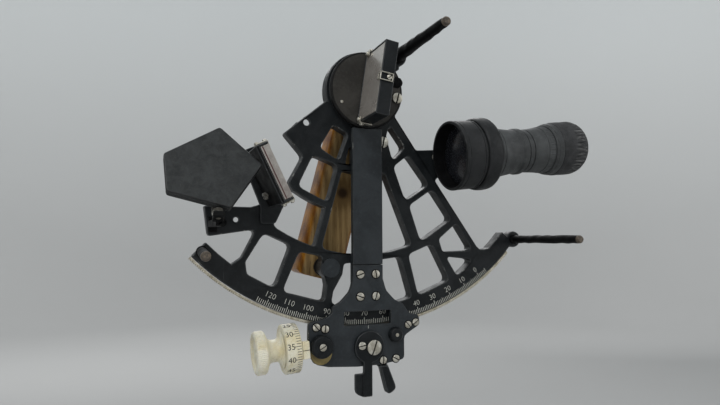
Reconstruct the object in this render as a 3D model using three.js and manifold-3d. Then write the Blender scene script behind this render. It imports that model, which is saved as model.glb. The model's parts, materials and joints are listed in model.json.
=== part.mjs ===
// Nautical sextant with a drum micrometer, in millimetres, +Z up.
// The frame's face looks along -Y. Shapes are drawn in the face plane as (x, z) around the index pivot,
// and a height h is measured from the face towards -Y. The finished group is moved so that its origin
// is the middle of the wooden grip, which is where a hand holds it.
import * as THREE from 'three';
import { mergeVertices } from 'three/addons/utils/BufferGeometryUtils.js';
import Module from 'manifold-3d';

const wasm = await Module();
wasm.setup();

// ---- driving dimensions ----
const GAP = 0.3;                      // running gap between neighbouring pieces
const FRAME_DEPTH = 9;
const LIMB_DEPTH = 7;
const HUB_RADIUS = 28;
const LIMB_INNER = 148;
const LIMB_OUTER = 160.2;
const RACK_OUTER = 162.5;
const LIMB_LEFT = -45.5;              // degrees from straight down, positive towards the telescope
const LIMB_RIGHT = 48.9;
const LIMB_STEP = (LIMB_RIGHT - LIMB_LEFT) / 31;
const RING_1 = [52.5, 57.5];
const RING_2 = [81.5, 86];
const RING_3 = [112.8, 117.3];
const PIVOT_RADIUS = 6;
const BUSH_RADIUS = 9;

const ARM_HALF_WIDTH = 10.8;
const ARM_BACK = 2.2;                 // heights above the face
const ARM_FRONT = 6.2;
const TONGUE_BACK = 0.6;
const PLATE_BACK = 3.2;
const ARM_SEAM_Z = -119.3;
const TABLE_RADIUS = 26.5;

const MIRROR_TURN = 8.5;              // index mirror's lean to the right, degrees
const MIRROR_SIZE = { length: 48.5, thick: 9.2, low: 6.6, high: 41.5, rim: 1.3, pocket: 3.4, clips: 10.6 };
const HORIZON_TURN = -25.8;           // horizon mirror's lean, parallel to the index mirror at zero
const HORIZON_CENTRE = [-71.2, -63.4];
const HORIZON_SIZE = { length: 36.5, thick: 8, low: 3.4, high: 41.5, rim: 1.2, pocket: 5.8, clips: 33.5 };

const SCOPE_HEIGHT = 28;
const SCOPE_START = [50.9, -46.3];
const SCOPE_SLOPE = 6.1;

const WORM_AXIS = { y: 3, z: -168.9, lean: 4.57 };   // passes under the pivot, falling to the left
const WORM_PITCH = 1.42;                             // half a degree of limb for each turn
const DRUM_RADIUS = 16;
const CARRIER_PIN = 11;                              // behind the worm axis

const SHADE_AXIS = [-103.7, -85];     // foot of the shade's pin
const SHADE_HEIGHT = 47;
const SHADE_LEAN = 20;

const LEG_HEIGHT = 72;
const LEGS = {
  top: { foot: [26, 28.3], tip: [26, 28.3], radius: [4.6, 2.9] },
  right: { foot: [121.5, -102.9], tip: [121.5, -102.9], radius: [2.9, 2.6] },
  left: { foot: [-107.8, -109.6], tip: [-112.2, -110.2], radius: [2.9, 2.6] },
};
const BOSS = [-24.2, -121.5];         // lower handle boss on the frame
const HANDLE_TOP_BOLT = [0.6, -27];   // upper handle bolt, in the hub
const GRIP = { width: 34, depth: 31, length: 114, front: 20.5 };
// The grip's middle, seen from the index pivot: half way between its two bolts.
const GRIP_CENTRE = [(BOSS[0] + HANDLE_TOP_BOLT[0]) / 2, GRIP.front + GRIP.depth / 2,
  (BOSS[1] + HANDLE_TOP_BOLT[1]) / 2];

// ---- materials ----
const finish = (color, roughness, metalness) => (
  new THREE.MeshStandardMaterial({ color, roughness, metalness }));
const BLACK = finish(0x24272a, 0.55, 0.3);
const DARK = finish(0x2e2d2b, 0.6, 0.2);
const NICKEL = finish(0xb8b6ae, 0.35, 0.9);
const BRONZE = finish(0x7d6238, 0.5, 0.8);
const IVORY = finish(0xd9d4bf, 0.5, 0);
const WOOD = finish(0x9a6226, 0.45, 0);
const GLASS = finish(0x9aa5a8, 0.08, 0.1);
const MIRROR = finish(0xa79e94, 0.12, 0.9);
const SHADE = finish(0x2f3233, 0.6, 0);
const TAN = finish(0xa28b5c, 0.7, 0);

// ---- helpers ----
const rad = THREE.MathUtils.degToRad;

// Point in the face plane at radius r and angle a (degrees from straight down, positive to the right).
const polar = (r, a) => [r * Math.sin(rad(a)), -r * Math.cos(rad(a))];

// Points along a circle around the pivot, both ends included.
function arc(r, from, to, step = 4) {
  const count = Math.max(1, Math.round(Math.abs(to - from) / step));
  return Array.from({ length: count + 1 }, (_, i) => polar(r, from + ((to - from) * i) / count));
}

// Rounds each corner [x, z, radius] of a closed outline; a corner without a radius stays sharp.
function rounded(corners) {
  const points = [];
  corners.forEach(([x, z, radius = 0], i) => {
    const before = corners[(i + corners.length - 1) % corners.length];
    const after = corners[(i + 1) % corners.length];
    const here = new THREE.Vector2(x, z);
    const a = new THREE.Vector2(before[0], before[1]).sub(here);
    const b = new THREE.Vector2(after[0], after[1]).sub(here);
    const reachA = a.length() * (before[2] ? 0.48 : 0.95);
    const reachB = b.length() * (after[2] ? 0.48 : 0.95);
    const half = Math.acos(THREE.MathUtils.clamp(a.dot(b) / (a.length() * b.length()), -1, 1)) / 2;
    const reach = Math.min(radius / Math.tan(half), reachA, reachB);
    if (reach < 0.05) {
      points.push(here);
      return;
    }
    const start = here.clone().add(a.setLength(reach));
    const end = here.clone().add(b.setLength(reach));
    const steps = Math.max(2, Math.round((Math.PI - 2 * half) / rad(26)));
    const bow = new THREE.QuadraticBezierCurve(start, here, end);
    points.push(...bow.getPoints(steps));
  });
  return points;
}

const outline = (corners) => new THREE.Shape(rounded(corners));
const disc = (x, z, r, segments = 28) => {
  const points = Array.from({ length: segments }, (_, i) => {
    const a = (2 * Math.PI * i) / segments;
    return new THREE.Vector2(x + r * Math.cos(a), z + r * Math.sin(a));
  });
  return new THREE.Shape(points);
};

// Extrudes a face-plane shape from height low to height high, towards -Y.
function plate(shape, low, high) {
  const geometry = new THREE.ExtrudeGeometry(shape, { depth: high - low, bevelEnabled: false, steps: 1 });
  return geometry.translate(0, 0, low).rotateX(Math.PI / 2);
}

const rod = (x, z, r, low, high, segments = 24) => plate(disc(x, z, r, segments), low, high);

// Turned solid around +X from [distance along X, radius] pairs.
function turned(profile, segments = 28) {
  const points = profile.map(([along, radius]) => new THREE.Vector2(radius, along));
  return new THREE.LatheGeometry(points, segments).rotateZ(-Math.PI / 2);
}

// Box between two bounds on each axis, in any order.
function box(x0, x1, y0, y1, z0, z1) {
  const geometry = new THREE.BoxGeometry(Math.abs(x1 - x0), Math.abs(y1 - y0), Math.abs(z1 - z0));
  return geometry.translate((x0 + x1) / 2, (y0 + y1) / 2, (z0 + z1) / 2);
}

function solid(geometry) {
  const bare = geometry.clone();
  bare.deleteAttribute('normal');
  bare.deleteAttribute('uv');
  const merged = mergeVertices(bare, 1e-4);
  const vertProperties = new Float32Array(merged.attributes.position.array);
  const triVerts = new Uint32Array(merged.index.array);
  return new wasm.Manifold(new wasm.Mesh({ numProp: 3, vertProperties, triVerts }));
}

function fromSolid(body) {
  const mesh = body.getMesh();
  const geometry = new THREE.BufferGeometry();
  geometry.setAttribute('position', new THREE.BufferAttribute(new Float32Array(mesh.vertProperties), 3));
  geometry.setIndex(new THREE.BufferAttribute(new Uint32Array(mesh.triVerts), 1));
  geometry.computeVertexNormals();
  return geometry;
}

// First geometry joined with the rest of `joined`, then cut by every geometry in `cut`.
function carve(joined, cut = []) {
  const whole = joined.map(solid).reduce((a, b) => a.add(b));
  return fromSolid(cut.map(solid).reduce((a, b) => a.subtract(b), whole));
}

const instrument = new THREE.Group();
instrument.position.set(-GRIP_CENTRE[0], -GRIP_CENTRE[1], -GRIP_CENTRE[2]);

function add(name, geometry, material, parent = instrument) {
  const mesh = new THREE.Mesh(geometry, material);
  mesh.name = name;
  parent.add(mesh);
  return mesh;
}

// Flat-headed screw with a slot, standing on the height `low`; only its head is modelled.
function slottedScrew(name, x, z, r, low, head, turn) {
  const slot = box(-2 * r, 2 * r, -low - head - 1, -low - head * 0.45, -r * 0.12, r * 0.12);
  slot.rotateY(rad(turn));
  add(name, carve([rod(0, 0, r, low, low + head)], [slot]), NICKEL).position.set(x, 0, z);
}

// ---- frame casting: hub, spokes, braces and limb ----
function frameOutline() {
  const corners = [
    [24, -17, 3],
    ...Array.from({ length: 25 }, (_, i) => polar(HUB_RADIUS, 127 + (i * 160) / 24)),
    [-27.4, -8, 3], [-56.5, -32, 2], [-43.5, -47, 4], [-53.5, -65, 4], [-50, -70.5, 2],
    ...arc(RING_2[1], -34.6, -19.5), [-28.8, -83, 3], [-35.4, -107.4, 4],
    ...arc(RING_3[0], -20, -32.5), [-64, -92.5, 5], [-58.5, -79.6, 1.5], [-72.5, -79.6, 2],
    [-78, -81.3], [-107, -80.8, 1], [-104.5, -100, 2], [-74, -95.6, 3], [-83.4, -113.6, 4],
    ...arc(LIMB_INNER, -37.3, LIMB_LEFT), ...arc(LIMB_OUTER, LIMB_LEFT, LIMB_RIGHT, LIMB_STEP),
    ...arc(LIMB_INNER, LIMB_RIGHT, 42.2), [91.3, -111, 6],
    [54.8, -60, 2], [58, -57.5, 2], [83, -52.5, 3], [83, -36, 3], [56, -37.6], [39.8, -38.8, 3],
  ];
  return outline(corners);
}

const CELLS = [
  [[-22.5, -24.6, 3], [-11.8, -30.4, 2.5], [-18.6, -48.8, 3], [-32, -40.4, 3]],
  [[-36.6, -45.8, 4], [-19.4, -52.4, 4], [-26.4, -77.4, 4], [-47, -67, 4]],
  [[-11, -39.4, 1.5], [-8, -39.4, 1.5], [-8, -51.6, 2], [-14, -51.2, 2]],
  [[19.2, -21.6, 3], [31, -37.6, 4], [21.6, -47.8, 3], [16.8, -30, 4]],
  [[33.6, -42.6, 3], [49.8, -63.6, 4], [31.2, -75.6, 4], [22.2, -51.4, 4]],
  [[34.2, -78.6, 4], [52.6, -66.6, 4], [68, -88.2, 4], [43, -104.6, 4]],
  [[72, -91, 2.5], [85.4, -111, 3], [60.6, -111.6, 2], [57.6, -102.6, 3]],
  [[63.2, -115.2, 2], [86.6, -117.6, 3], [72.2, -129.4, 3]],
  [[-46, -110.2, 4], [-30.8, -113.6, 3], [-29.2, -124, 3], [-27.4, -133], [-28.8, -143.8, 3],
    [-57.2, -136, 4]],
  [[-69.4, -97.8, 5], [-51.6, -106, 4], [-62.4, -133.6, 4], [-80, -124, 3], [-81, -116.4, 3]],
  [...arc(RING_1[1], -16.2, 15, 8).map(([x, z], i, all) => [x, z, i % (all.length - 1) ? 0 : 3]),
    ...arc(RING_3[0], 18.4, -15.8, 8).map(([x, z], i, all) => [x, z, i % (all.length - 1) ? 0 : 4])],
  [[33.2, -113.2, 4], [51.6, -105.8, 4], [65.6, -132.4, 4], [40.6, -142.2, 4]],
  [[26.8, -114.6, 4], [35.2, -143.2, 3], ...arc(LIMB_INNER, 10.5, -7.5, 6), [-23.8, -144.6, 3],
    [-22.4, -137, 3], [-16, -126, 2], [-14.8, -118.8, 2], [-10, -118.4, 2], ...arc(RING_3[1], -2, 10, 6)],
];
const TAB_HOLE = [-41.2, -24, 2.1];
const PLATFORM_HOLE = [-87.3, -89.5, 1.6];
const CLAMP_BOLT = [72, -44];

function frameCasting() {
  const shape = frameOutline();
  const holes = [...CELLS.map(rounded), disc(0, 0, BUSH_RADIUS + GAP, 32).getPoints(),
    disc(...TAB_HOLE, 16).getPoints(), disc(...PLATFORM_HOLE, 16).getPoints()];
  shape.holes = holes.map((points) => new THREE.Path(points));
  const lattice = plate(shape, -FRAME_DEPTH, 0);
  const thinLimb = plate(new THREE.Shape([...arc(LIMB_INNER + 1.5, -60, 60), ...arc(200, 60, -60)]
    .map(([x, z]) => new THREE.Vector2(x, z))), -FRAME_DEPTH - 1, -LIMB_DEPTH);
  const hubRing = new THREE.Shape(disc(0, 0, 15, 32).getPoints());
  hubRing.holes = [new THREE.Path(disc(0, 0, BUSH_RADIUS + GAP, 32).getPoints())];
  const boss = rod(...BOSS, 7.2, -FRAME_DEPTH - 2, 0);
  const legEars = [rod(...LEGS.top.foot, 7, -FRAME_DEPTH, 0), rod(...LEGS.right.foot, 6, -LIMB_DEPTH, 0),
    plate(outline([[10, 16], [28, 18, 3], [24, 33, 3], [10, 24]]), -FRAME_DEPTH, 0)];
  const bolts = [BOSS, HANDLE_TOP_BOLT].map((bolt) => rod(...bolt, 3, -20, -1.8, 16));
  bolts.push(rod(...CLAMP_BOLT, 3, -20, 5, 16));
  const reliefs = [TAB_HOLE, PLATFORM_HOLE].map(([x, z, r]) => rod(x, z, 2 * r, -20, -2.2, 20));
  return carve([lattice, plate(hubRing, -FRAME_DEPTH - 5, -FRAME_DEPTH + 1), boss, ...legEars],
    [thinLimb, ...bolts, ...reliefs]);
}

function buildFrame() {
  add('frame', frameCasting(), BLACK);
  const rackEnd = LIMB_RIGHT - LIMB_STEP;
  const rim = new THREE.Shape([...arc(LIMB_OUTER + GAP, LIMB_LEFT, rackEnd, LIMB_STEP),
    ...arc(RACK_OUTER, rackEnd, LIMB_LEFT, LIMB_STEP)].map(([x, z]) => new THREE.Vector2(x, z)));
  add('limb_rack', plate(rim, -LIMB_DEPTH + 1, -0.3), NICKEL);
  const bush = new THREE.Shape(disc(0, 0, BUSH_RADIUS, 32).getPoints());
  bush.holes = [new THREE.Path(disc(0, 0, PIVOT_RADIUS + 0.1, 32).getPoints())];
  add('pivot_bush', plate(bush, -FRAME_DEPTH - 5, -0.2), BRONZE);
  slottedScrew('hub_screw', 14, -34.5, 3.9, 0.2, 1.2, 80);
}

// ---- legs: tapered rods on the face side ----
function buildLegs() {
  for (const [name, leg] of Object.entries(LEGS)) {
    const foot = new THREE.Vector3(leg.foot[0], -GAP, leg.foot[1]);
    const tip = new THREE.Vector3(leg.tip[0], -LEG_HEIGHT, leg.tip[1]);
    const along = tip.clone().sub(foot);
    const length = along.length();
    const group = new THREE.Group();
    group.position.copy(foot);
    group.quaternion.setFromUnitVectors(new THREE.Vector3(1, 0, 0), along.clone().normalize());
    instrument.add(group);
    const [wide, narrow] = leg.radius;
    const profile = [[0, 0], [0, wide + 0.9], [1.8, wide + 0.9], [2.6, wide], [length - 1, narrow],
      [length, narrow - 0.8], [length, 0]];
    add(`leg_${name}`, turned(profile, 20), BLACK, group);
  }
}

// ---- wooden grip on two posts behind the frame ----
function buildHandle() {
  const rise = new THREE.Vector2(HANDLE_TOP_BOLT[0] - BOSS[0], HANDLE_TOP_BOLT[1] - BOSS[1]);
  const group = new THREE.Group();
  group.position.set(GRIP_CENTRE[0], 0, GRIP_CENTRE[2]);
  group.rotation.y = Math.atan2(rise.x, rise.y);
  instrument.add(group);
  const w = GRIP.width / 2;
  const l = GRIP.length / 2;
  const side = outline([[-w, -l, 6], [w, -l, 6], [w, l, 8], [-w, l, 8]]);
  const blank = plate(side, -GRIP.front - GRIP.depth, -GRIP.front);
  const section = rounded([[-w, 0, 8], [w, 0, 8], [w, GRIP.depth, 12], [-w, GRIP.depth, 12]]);
  const barrel = new THREE.ExtrudeGeometry(new THREE.Shape(section), { depth: 2 * l, bevelEnabled: false });
  barrel.translate(0, GRIP.front, -l);
  const rounder = solid(barrel).intersect(solid(blank));
  const boltAt = [-rise.length() / 2, rise.length() / 2];
  const bores = boltAt.map((z) => rod(0, z, 3, -GRIP.front - GRIP.depth - 1, -GRIP.front + 1));
  const rear = -GRIP.front - GRIP.depth;
  const sinks = boltAt.map((z) => rod(0, z, 5.6, rear - 1, rear + 4));
  const cut = [...bores, ...sinks].map(solid).reduce((a, b) => a.subtract(b), rounder);
  add('handle_grip', fromSolid(cut), WOOD, group);
  const names = ['lower', 'upper'];
  const starts = [FRAME_DEPTH + 2, FRAME_DEPTH];
  boltAt.forEach((z, i) => {
    const sleeve = new THREE.Shape(disc(0, z, 6.6).getPoints());
    sleeve.holes = [new THREE.Path(disc(0, z, 3, 16).getPoints())];
    add(`handle_post_${names[i]}`, plate(sleeve, -GRIP.front + GAP, -starts[i] - GAP), BLACK, group);
    const back = GRIP.front + GRIP.depth - 0.6;
    const bolt = [rod(0, z, 2.5, -back, -2.2, 16), rod(0, z, 5.2, -back, -back + 2.6)];
    const slot = box(-6, 6, back - 1, back + 1, z - 0.6, z + 0.6);
    add(`handle_bolt_${names[i]}`, carve(bolt, [slot]), NICKEL, group);
  });
}

// ---- mirrors: a tray with a pocket on one side (-1 left, +1 right), its glass and its clips ----
function leaned(x, z, degrees) {
  const group = new THREE.Group();
  group.position.set(x, 0, z);
  group.rotation.y = rad(degrees);
  instrument.add(group);
  return group;
}

// The glass stands `cover` behind the tray's near end; a negative cover leaves that end open.
function buildMirror(prefix, size, side, cover, group) {
  const l = size.length / 2;
  const t = size.thick / 2;
  const inset = size.rim + GAP;
  const floor = side * (t - size.pocket);
  const body = box(-t, t, -size.high, -size.low, -l, l);
  const pocket = box(side * (t + 1), floor, -size.high + cover, -size.low - size.rim,
    -l + size.rim, l - size.rim);
  add(`${prefix}_mirror_frame`, carve([body], [pocket]), BLACK, group);
  add(`${prefix}_mirror_glass`, box(side * (t - 0.2), floor + side * GAP, -size.high + Math.max(cover + GAP, 0),
    -size.low - inset, -l + inset, l - inset), MIRROR, group);
  const outer = side * (t + 1);
  for (const [name, end] of [['upper', 1], ['lower', -1]]) {
    const face = end * (l + GAP);
    const edge = end * (l + 1.2);
    const grip = [box(-side * (t - 1), outer, -size.clips, -size.clips - 4.5, face, edge),
      box(side * (t + 0.2), outer, -size.clips, -size.clips - 4.5, edge, end * (l - 3))];
    add(`${prefix}_clip_${name}`, carve(grip), NICKEL, group);
  }
}

// Strap over the middle of the index mirror's near end.
function buildTopClip(size, side, group) {
  const t = size.thick / 2;
  const near = -size.high - GAP;
  const strap = [box(-side * (t - 1), side * (t + 1), near - 0.9, near, -2.6, 2.6),
    box(side * (t + 0.2), side * (t + 1), near - 0.9, -size.high + 4.5, -1.6, 1.6)];
  add('index_clip_top', carve(strap), NICKEL, group);
}

// ---- horizon mirror on its base plate ----
function buildHorizon() {
  const base = outline([[-86, -46.5, 3], [-79.4, -63.5], [-72.4, -80.6], [-72.4, -92, 2], [-62.6, -92, 2],
    [-57, -80.4, 2], [-74.6, -41.6, 3]]);
  add('horizon_base', plate(base, GAP, 3), BLACK);
  const group = leaned(...HORIZON_CENTRE, HORIZON_TURN);
  buildMirror('horizon', HORIZON_SIZE, 1, -1, group);
  const back = -HORIZON_SIZE.thick / 2;
  for (const [name, z, y] of [['upper', 10.5, -27], ['lower', -10.5, -17]]) {
    const stem = [[back - 3.4, 0], [back - 3.4, 1.9], [back - 2.6, 2.3], [back - 1, 2.3], [back - 1, 1.2],
      [back - GAP, 1.2], [back - GAP, 0]];
    add(`horizon_adjuster_${name}`, turned(stem, 16).translate(0, y, z), NICKEL, group);
  }
  slottedScrew('platform_screw', -95.6, -91.4, 2.6, GAP, 1, 15);
}

// ---- horizon shade: a two-plate pentagon that swivels on a leaning pin ----
function buildShade() {
  const [x, z] = SHADE_AXIS;
  const socket = box(-3, 3, -4.2, 4.2, -6.2, -3).rotateX(-rad(SHADE_LEAN));
  socket.translate(x, -SHADE_HEIGHT, z);
  const bore = rodUp(1.6, -12, -2).rotateX(-rad(SHADE_LEAN)).translate(x, -SHADE_HEIGHT, z);
  const post = box(x - 0.9, x + 3.3, -SHADE_HEIGHT + 1, -GAP, z - 9.4, z - 5.4);
  const sole = box(x - 0.9, x + 4.5, -3, -GAP, z - 12.4, z - 3);
  add('shade_bracket', carve([sole, post, socket], [bore]), BLACK);
  const group = new THREE.Group();
  group.position.set(x, -SHADE_HEIGHT, z);
  group.rotation.x = -rad(SHADE_LEAN);
  instrument.add(group);
  const pentagon = outline([[-27, 8.6, 2], [-28.6, 31, 2], [2.2, 49.8, 2], [25.2, 26.7, 2],
    [6.4, -0.6, 1.5]]);
  add('shade_plate_front', plate(pentagon, 0.2, 3.2), SHADE, group);
  add('shade_plate_rear', plate(pentagon, -3.2, -0.2), SHADE, group);
  const jaws = [box(-3, 3, 3.5, 4.6, -2.6, 5), box(-2.2, 2.2, -3.2, 4.6, -2.6, 0)];
  add('shade_knuckle', carve(jaws, [rodUp(1.6, -5, 3)]), NICKEL, group);
  add('shade_pin', rodUp(1.4, -6, -0.2), NICKEL, group);
}

// Upright cylinder around the local Z axis.
function rodUp(r, from, to, segments = 20) {
  const geometry = new THREE.CylinderGeometry(r, r, to - from, segments).rotateX(Math.PI / 2);
  return geometry.translate(0, 0, (from + to) / 2);
}

// ---- telescope: everything is turned around the local X axis ----
function buildTelescope() {
  const group = new THREE.Group();
  group.position.set(SCOPE_START[0], -SCOPE_HEIGHT, SCOPE_START[1]);
  group.rotation.y = -rad(SCOPE_SLOPE);
  instrument.add(group);
  add('objective_cell', turned([[0, 21.6], [0, 23.2], [0.8, 23.6], [15.6, 23.4], [16.2, 22.4], [16.2, 20.6],
    [8, 20.6], [7, 21.1], [0, 21.6]], 40), BLACK, group);
  add('objective_lens', turned([[7, 0], [7.4, 10], [8.6, 20.2], [11, 20.2], [11.8, 10], [12, 0]], 24),
    GLASS, group);
  const collarRing = turned([[16.6, 22.6], [16.6, 23.6], [18.6, 24.7], [22.5, 25.1], [26.4, 24.6], [28.3, 22.9],
    [28.3, 22.6], [16.6, 22.6]], 40);
  const collarFoot = box(17, 27, 22, SCOPE_HEIGHT - GAP, -7, 7);
  const bore = turned([[10, 0], [10, 22.6], [35, 22.6], [35, 0]], 40);
  add('telescope_collar', carve([collarRing, collarFoot], [bore]), BLACK, group);
  add('telescope_tube', turned([[16.6, 20.8], [16.6, 22.3], [28.5, 22.3], [30.5, 19.6], [32.5, 17.9], [38, 16.9],
    [46.5, 15.7], [50, 15.5], [51, 16.3], [54, 16.3], [55, 15.3], [59.5, 15.1], [59.5, 13.8], [34.5, 14],
    [27.5, 20.8], [16.6, 20.8]], 32), BLACK, group);
  add('focus_ring', turned([[59.9, 13.9], [59.9, 15.3], [64, 15.6], [70, 16.2], [76.1, 17], [76.1, 14.4],
    [71, 13.9], [59.9, 13.9]], 32), BLACK, group);
  add('eye_tube', turned([[60.5, 11.4], [60.5, 13.1], [71, 13.5], [76.5, 14.1], [76.5, 17.2], [78.5, 18.2],
    [84.5, 19.3], [96.5, 19.4], [101.5, 18.6], [105, 16.2], [106.1, 13.4], [105.3, 10.5], [102, 10],
    [97.5, 11.4], [60.5, 11.4]], 32), BLACK, group);
  add('eye_lens', turned([[92.5, 0], [92.9, 6], [93.7, 11], [95.9, 11], [96.5, 6], [96.7, 0]], 20), GLASS,
    group);
  const [x, z] = CLAMP_BOLT;
  const knob = [rod(x, z, 8, -FRAME_DEPTH - 10, -FRAME_DEPTH - 1, 24), rod(x, z, 4, -FRAME_DEPTH - 2,
    -FRAME_DEPTH - GAP, 20), rod(x, z, 2.6, -FRAME_DEPTH - 1, -1, 16)];
  add('telescope_clamp_knob', carve(knob), BLACK);
}

// ---- index arm, mirror table, index mirror ----
function buildArm() {
  const w = ARM_HALF_WIDTH;
  const bar = plate(outline([[-w, ARM_SEAM_Z], [w, ARM_SEAM_Z], [w, -26.6], [-w, -26.6]]), ARM_BACK, ARM_FRONT);
  const tongue = plate(outline([[-w, -146], [w, -146], [w, -112], [-w, -112]]), TONGUE_BACK, ARM_BACK + 0.6);
  const neck = plate(outline([[-8, -31.2], [8, -31.2], [8, -20], [-8, -20]]), TONGUE_BACK, ARM_BACK + 0.6);
  const head = rod(0, 0, TABLE_RADIUS - 0.5, TONGUE_BACK, ARM_BACK + 0.6, 48);
  const shaft = rod(0, 0, PIVOT_RADIUS, -FRAME_DEPTH - 7, TONGUE_BACK + 1, 32);
  const tableEdge = rod(0, 0, TABLE_RADIUS + GAP, ARM_BACK + 0.6, ARM_FRONT + 1, 48);
  add('index_arm', carve([bar, tongue, neck, head, shaft], [tableEdge]), BLACK);
  add('mirror_table', rod(0, 0, TABLE_RADIUS, ARM_BACK + 0.9, ARM_FRONT + 0.1, 48), DARK);
  add('pivot_nut', carve([rod(0, 0, 8.4, -FRAME_DEPTH - 10, -FRAME_DEPTH - 5.4, 6)],
    [rod(0, 0, PIVOT_RADIUS + 0.1, -FRAME_DEPTH - 8, -FRAME_DEPTH - 5, 32)]), BRONZE);
  slottedScrew('table_screw', 22.3, -4, 3.8, ARM_FRONT + 0.4, 1.4, 75);
  const group = leaned(0.1, -0.5, MIRROR_TURN);
  buildMirror('index', MIRROR_SIZE, -1, MIRROR_SIZE.rim, group);
  buildTopClip(MIRROR_SIZE, -1, group);
  const back = MIRROR_SIZE.thick / 2;
  const knob = [[back + GAP, 0], [back + GAP, 1.8], [back + 5, 1.8], [back + 6, 3.6], [back + 11.5, 3.4],
    [back + 13.5, 1.6], [back + 13.5, 0]];
  add('index_adjuster', turned(knob, 20).translate(0, -22, 5), BLACK, group);
}

// ---- lower plate with the reading window, screws, cap, knob and finger post ----
const PLATE_OUTLINE = [
  [-10.8, -119.6], [10.8, -119.6], [10.8, -129], [13.2, -137, 8], [19.5, -143.6, 8], [25.4, -146.4, 2],
  [30.8, -153.4, 2], [37.6, -154.6, 3], [38.2, -161.5, 4], [31, -165.6, 3], [26.4, -168.4, 4],
  [26.4, -184, 3], [9, -186.6], [-8, -186.6], [-28, -185.2], [-38.4, -182.6, 6], [-41.8, -170, 4],
  [-41.6, -156.4, 2.5], [-29, -153.6, 1.5], [-25.4, -150.6, 1.5], [-25.4, -146.6, 2], [-19.5, -143.6, 8],
  [-13.2, -137, 8], [-10.8, -129],
];
const WINDOW = [[-17, -159.4, 0.8], [16.4, -159.4, 0.8], [16.4, -150.4, 0.8], [-17, -150.4, 0.8]];
const CAP = [-33.4, -171.2];
const BOLT = [3, -174.2];

function buildLowerPlate() {
  const shape = outline(PLATE_OUTLINE);
  shape.holes = [new THREE.Path(rounded(WINDOW))];
  add('lower_plate', plate(shape, PLATE_BACK, ARM_FRONT), BLACK);
  add('cap_washer', rod(CAP[0] + 0.4, CAP[1] - 4.8, 7.2, ARM_FRONT + GAP, ARM_FRONT + 0.9, 28), TAN);
  add('cap', turned([[0, 0], [0, 7], [0.6, 7.4], [4.2, 7.4], [5.4, 6.4], [5.4, 0]], 28).rotateZ(-Math.PI / 2)
    .translate(CAP[0], -ARM_FRONT - 1.2, CAP[1]), BLACK);
  add('stop_knob', turned([[0, 0], [0, 5], [3.2, 4.8], [4, 4], [4, 0]], 24).rotateZ(-Math.PI / 2)
    .translate(19.3, -ARM_FRONT - GAP, -166.8), BLACK);
  const paddle = plate(outline([[8.4, -187.2], [14.4, -187.2], [20.8, -203.4, 3.6], [13.8, -207.8, 3.6]]),
    TONGUE_BACK, ARM_FRONT);
  const root = plate(outline([[8.4, -188], [14.4, -188], [13.8, -181, 1.5], [7.8, -181, 1.5]]), TONGUE_BACK,
    PLATE_BACK - GAP);
  add('finger_post', carve([paddle, root]), BLACK);
}

// ---- quick release: a lever pivoted on the plate, which frees the worm from the rack ----
function buildRelease() {
  const low = ARM_FRONT + GAP;
  const high = ARM_FRONT + 2.6;
  const arm = plate(outline([[-4.4, -180], [-4.4, -190.8, 1], [-10.4, -190.8, 1], [-10.4, -203.4, 4],
    [-4.4, -206.2, 2], [1.9, -206.2, 1], [1.9, -180]]), low, high);
  add('release_lever', carve([rod(0, -173.8, 10.5, low, high, 40), arm]), BLACK);
  slottedScrew('release_pivot', ...BOLT, 5, high + GAP, 1.2, 70);
  slottedScrew('release_screw', -5.5, -172.6, 2.6, high + GAP, 0.9, 10);
}

// ---- micrometer: worm on a swinging carrier, drum and grip, in a group along the worm's axis ----
function ridges(from, to, low, high) {
  const count = Math.floor((to - from) / (2 * WORM_PITCH));
  return Array.from({ length: count }, (_, i) => [[from + 2 * i * WORM_PITCH, low],
    [from + (2 * i + 1) * WORM_PITCH, high]]).flat();
}

function buildMicrometer() {
  const group = new THREE.Group();
  group.position.set(0, WORM_AXIS.y, WORM_AXIS.z);
  group.rotation.y = -rad(WORM_AXIS.lean);
  instrument.add(group);
  add('worm', turned([[-71.8, 0], [-71.8, 2.2], [4.5, 2.2], ...ridges(4.5, 20.4, 4.2, 5.5), [20.4, 4.2],
    [20.4, 2.2], [23.8, 2.2], [23.8, 0]], 20), BRONZE, group);
  const ears = [box(-33.5, -31, -5.9, 14.5, -11.5, -8.6), box(-33.5, -31, 8, 14.5, -11.5, 3.4),
    box(24, 25.7, -5.9, 14.5, -11.5, -8.6), box(24, 25.7, 8, 14.5, -11.5, 3.4),
    box(-33.5, 25.7, -5.9, -4.6, -11.5, -8.6)];
  const pinHole = alongX(1.5, -60, 60, CARRIER_PIN);
  add('carrier_bracket', carve(ears, [pinHole]), BLACK, group);
  add('carrier_pin', alongX(1.3, -33.3, 25.5, CARRIER_PIN), NICKEL, group);
  const yoke = [box(-30.7, 23.6, 8.4, 13.4, -5, 4.6), box(-30.7, -26, -4.6, 9, -7, 4.6),
    box(21, 23.6, -3, 9, -5, 4.6)];
  add('worm_carrier', carve(yoke, [pinHole, alongX(2.4, -60, 60, 0)]), BLACK, group);
  const pointer = [box(-46.4, -41.8, -14, -9.7, -5.5, 5.5), box(-46.4, -43, -10, -4, -5, 4),
    box(-43.2, -31, -5.2, -4, -4, 3.6)];
  add('drum_index', carve(pointer), IVORY, group);
  add('drum', turned([[-57, 2.5], [-57, 15.2], [-56.4, DRUM_RADIUS], [-47.6, DRUM_RADIUS], [-46.8, 15.4],
    [-46.8, 2.5], [-57, 2.5]], 36), IVORY, group);
  add('drum_grip', turned([[-73.6, 2.5], [-73.6, 9.6], [-75.3, 11.2], [-75.3, 12.8], [-74.4, 13.9], [-68.8, 13.9],
    [-67.8, 12.6], [-66.2, 8.2], [-64, 7.2], [-60.3, 7.2], [-58.4, 9], [-57.3, 12], [-57.3, 2.5], [-73.6, 2.5]],
    28), IVORY, group);
}

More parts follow.
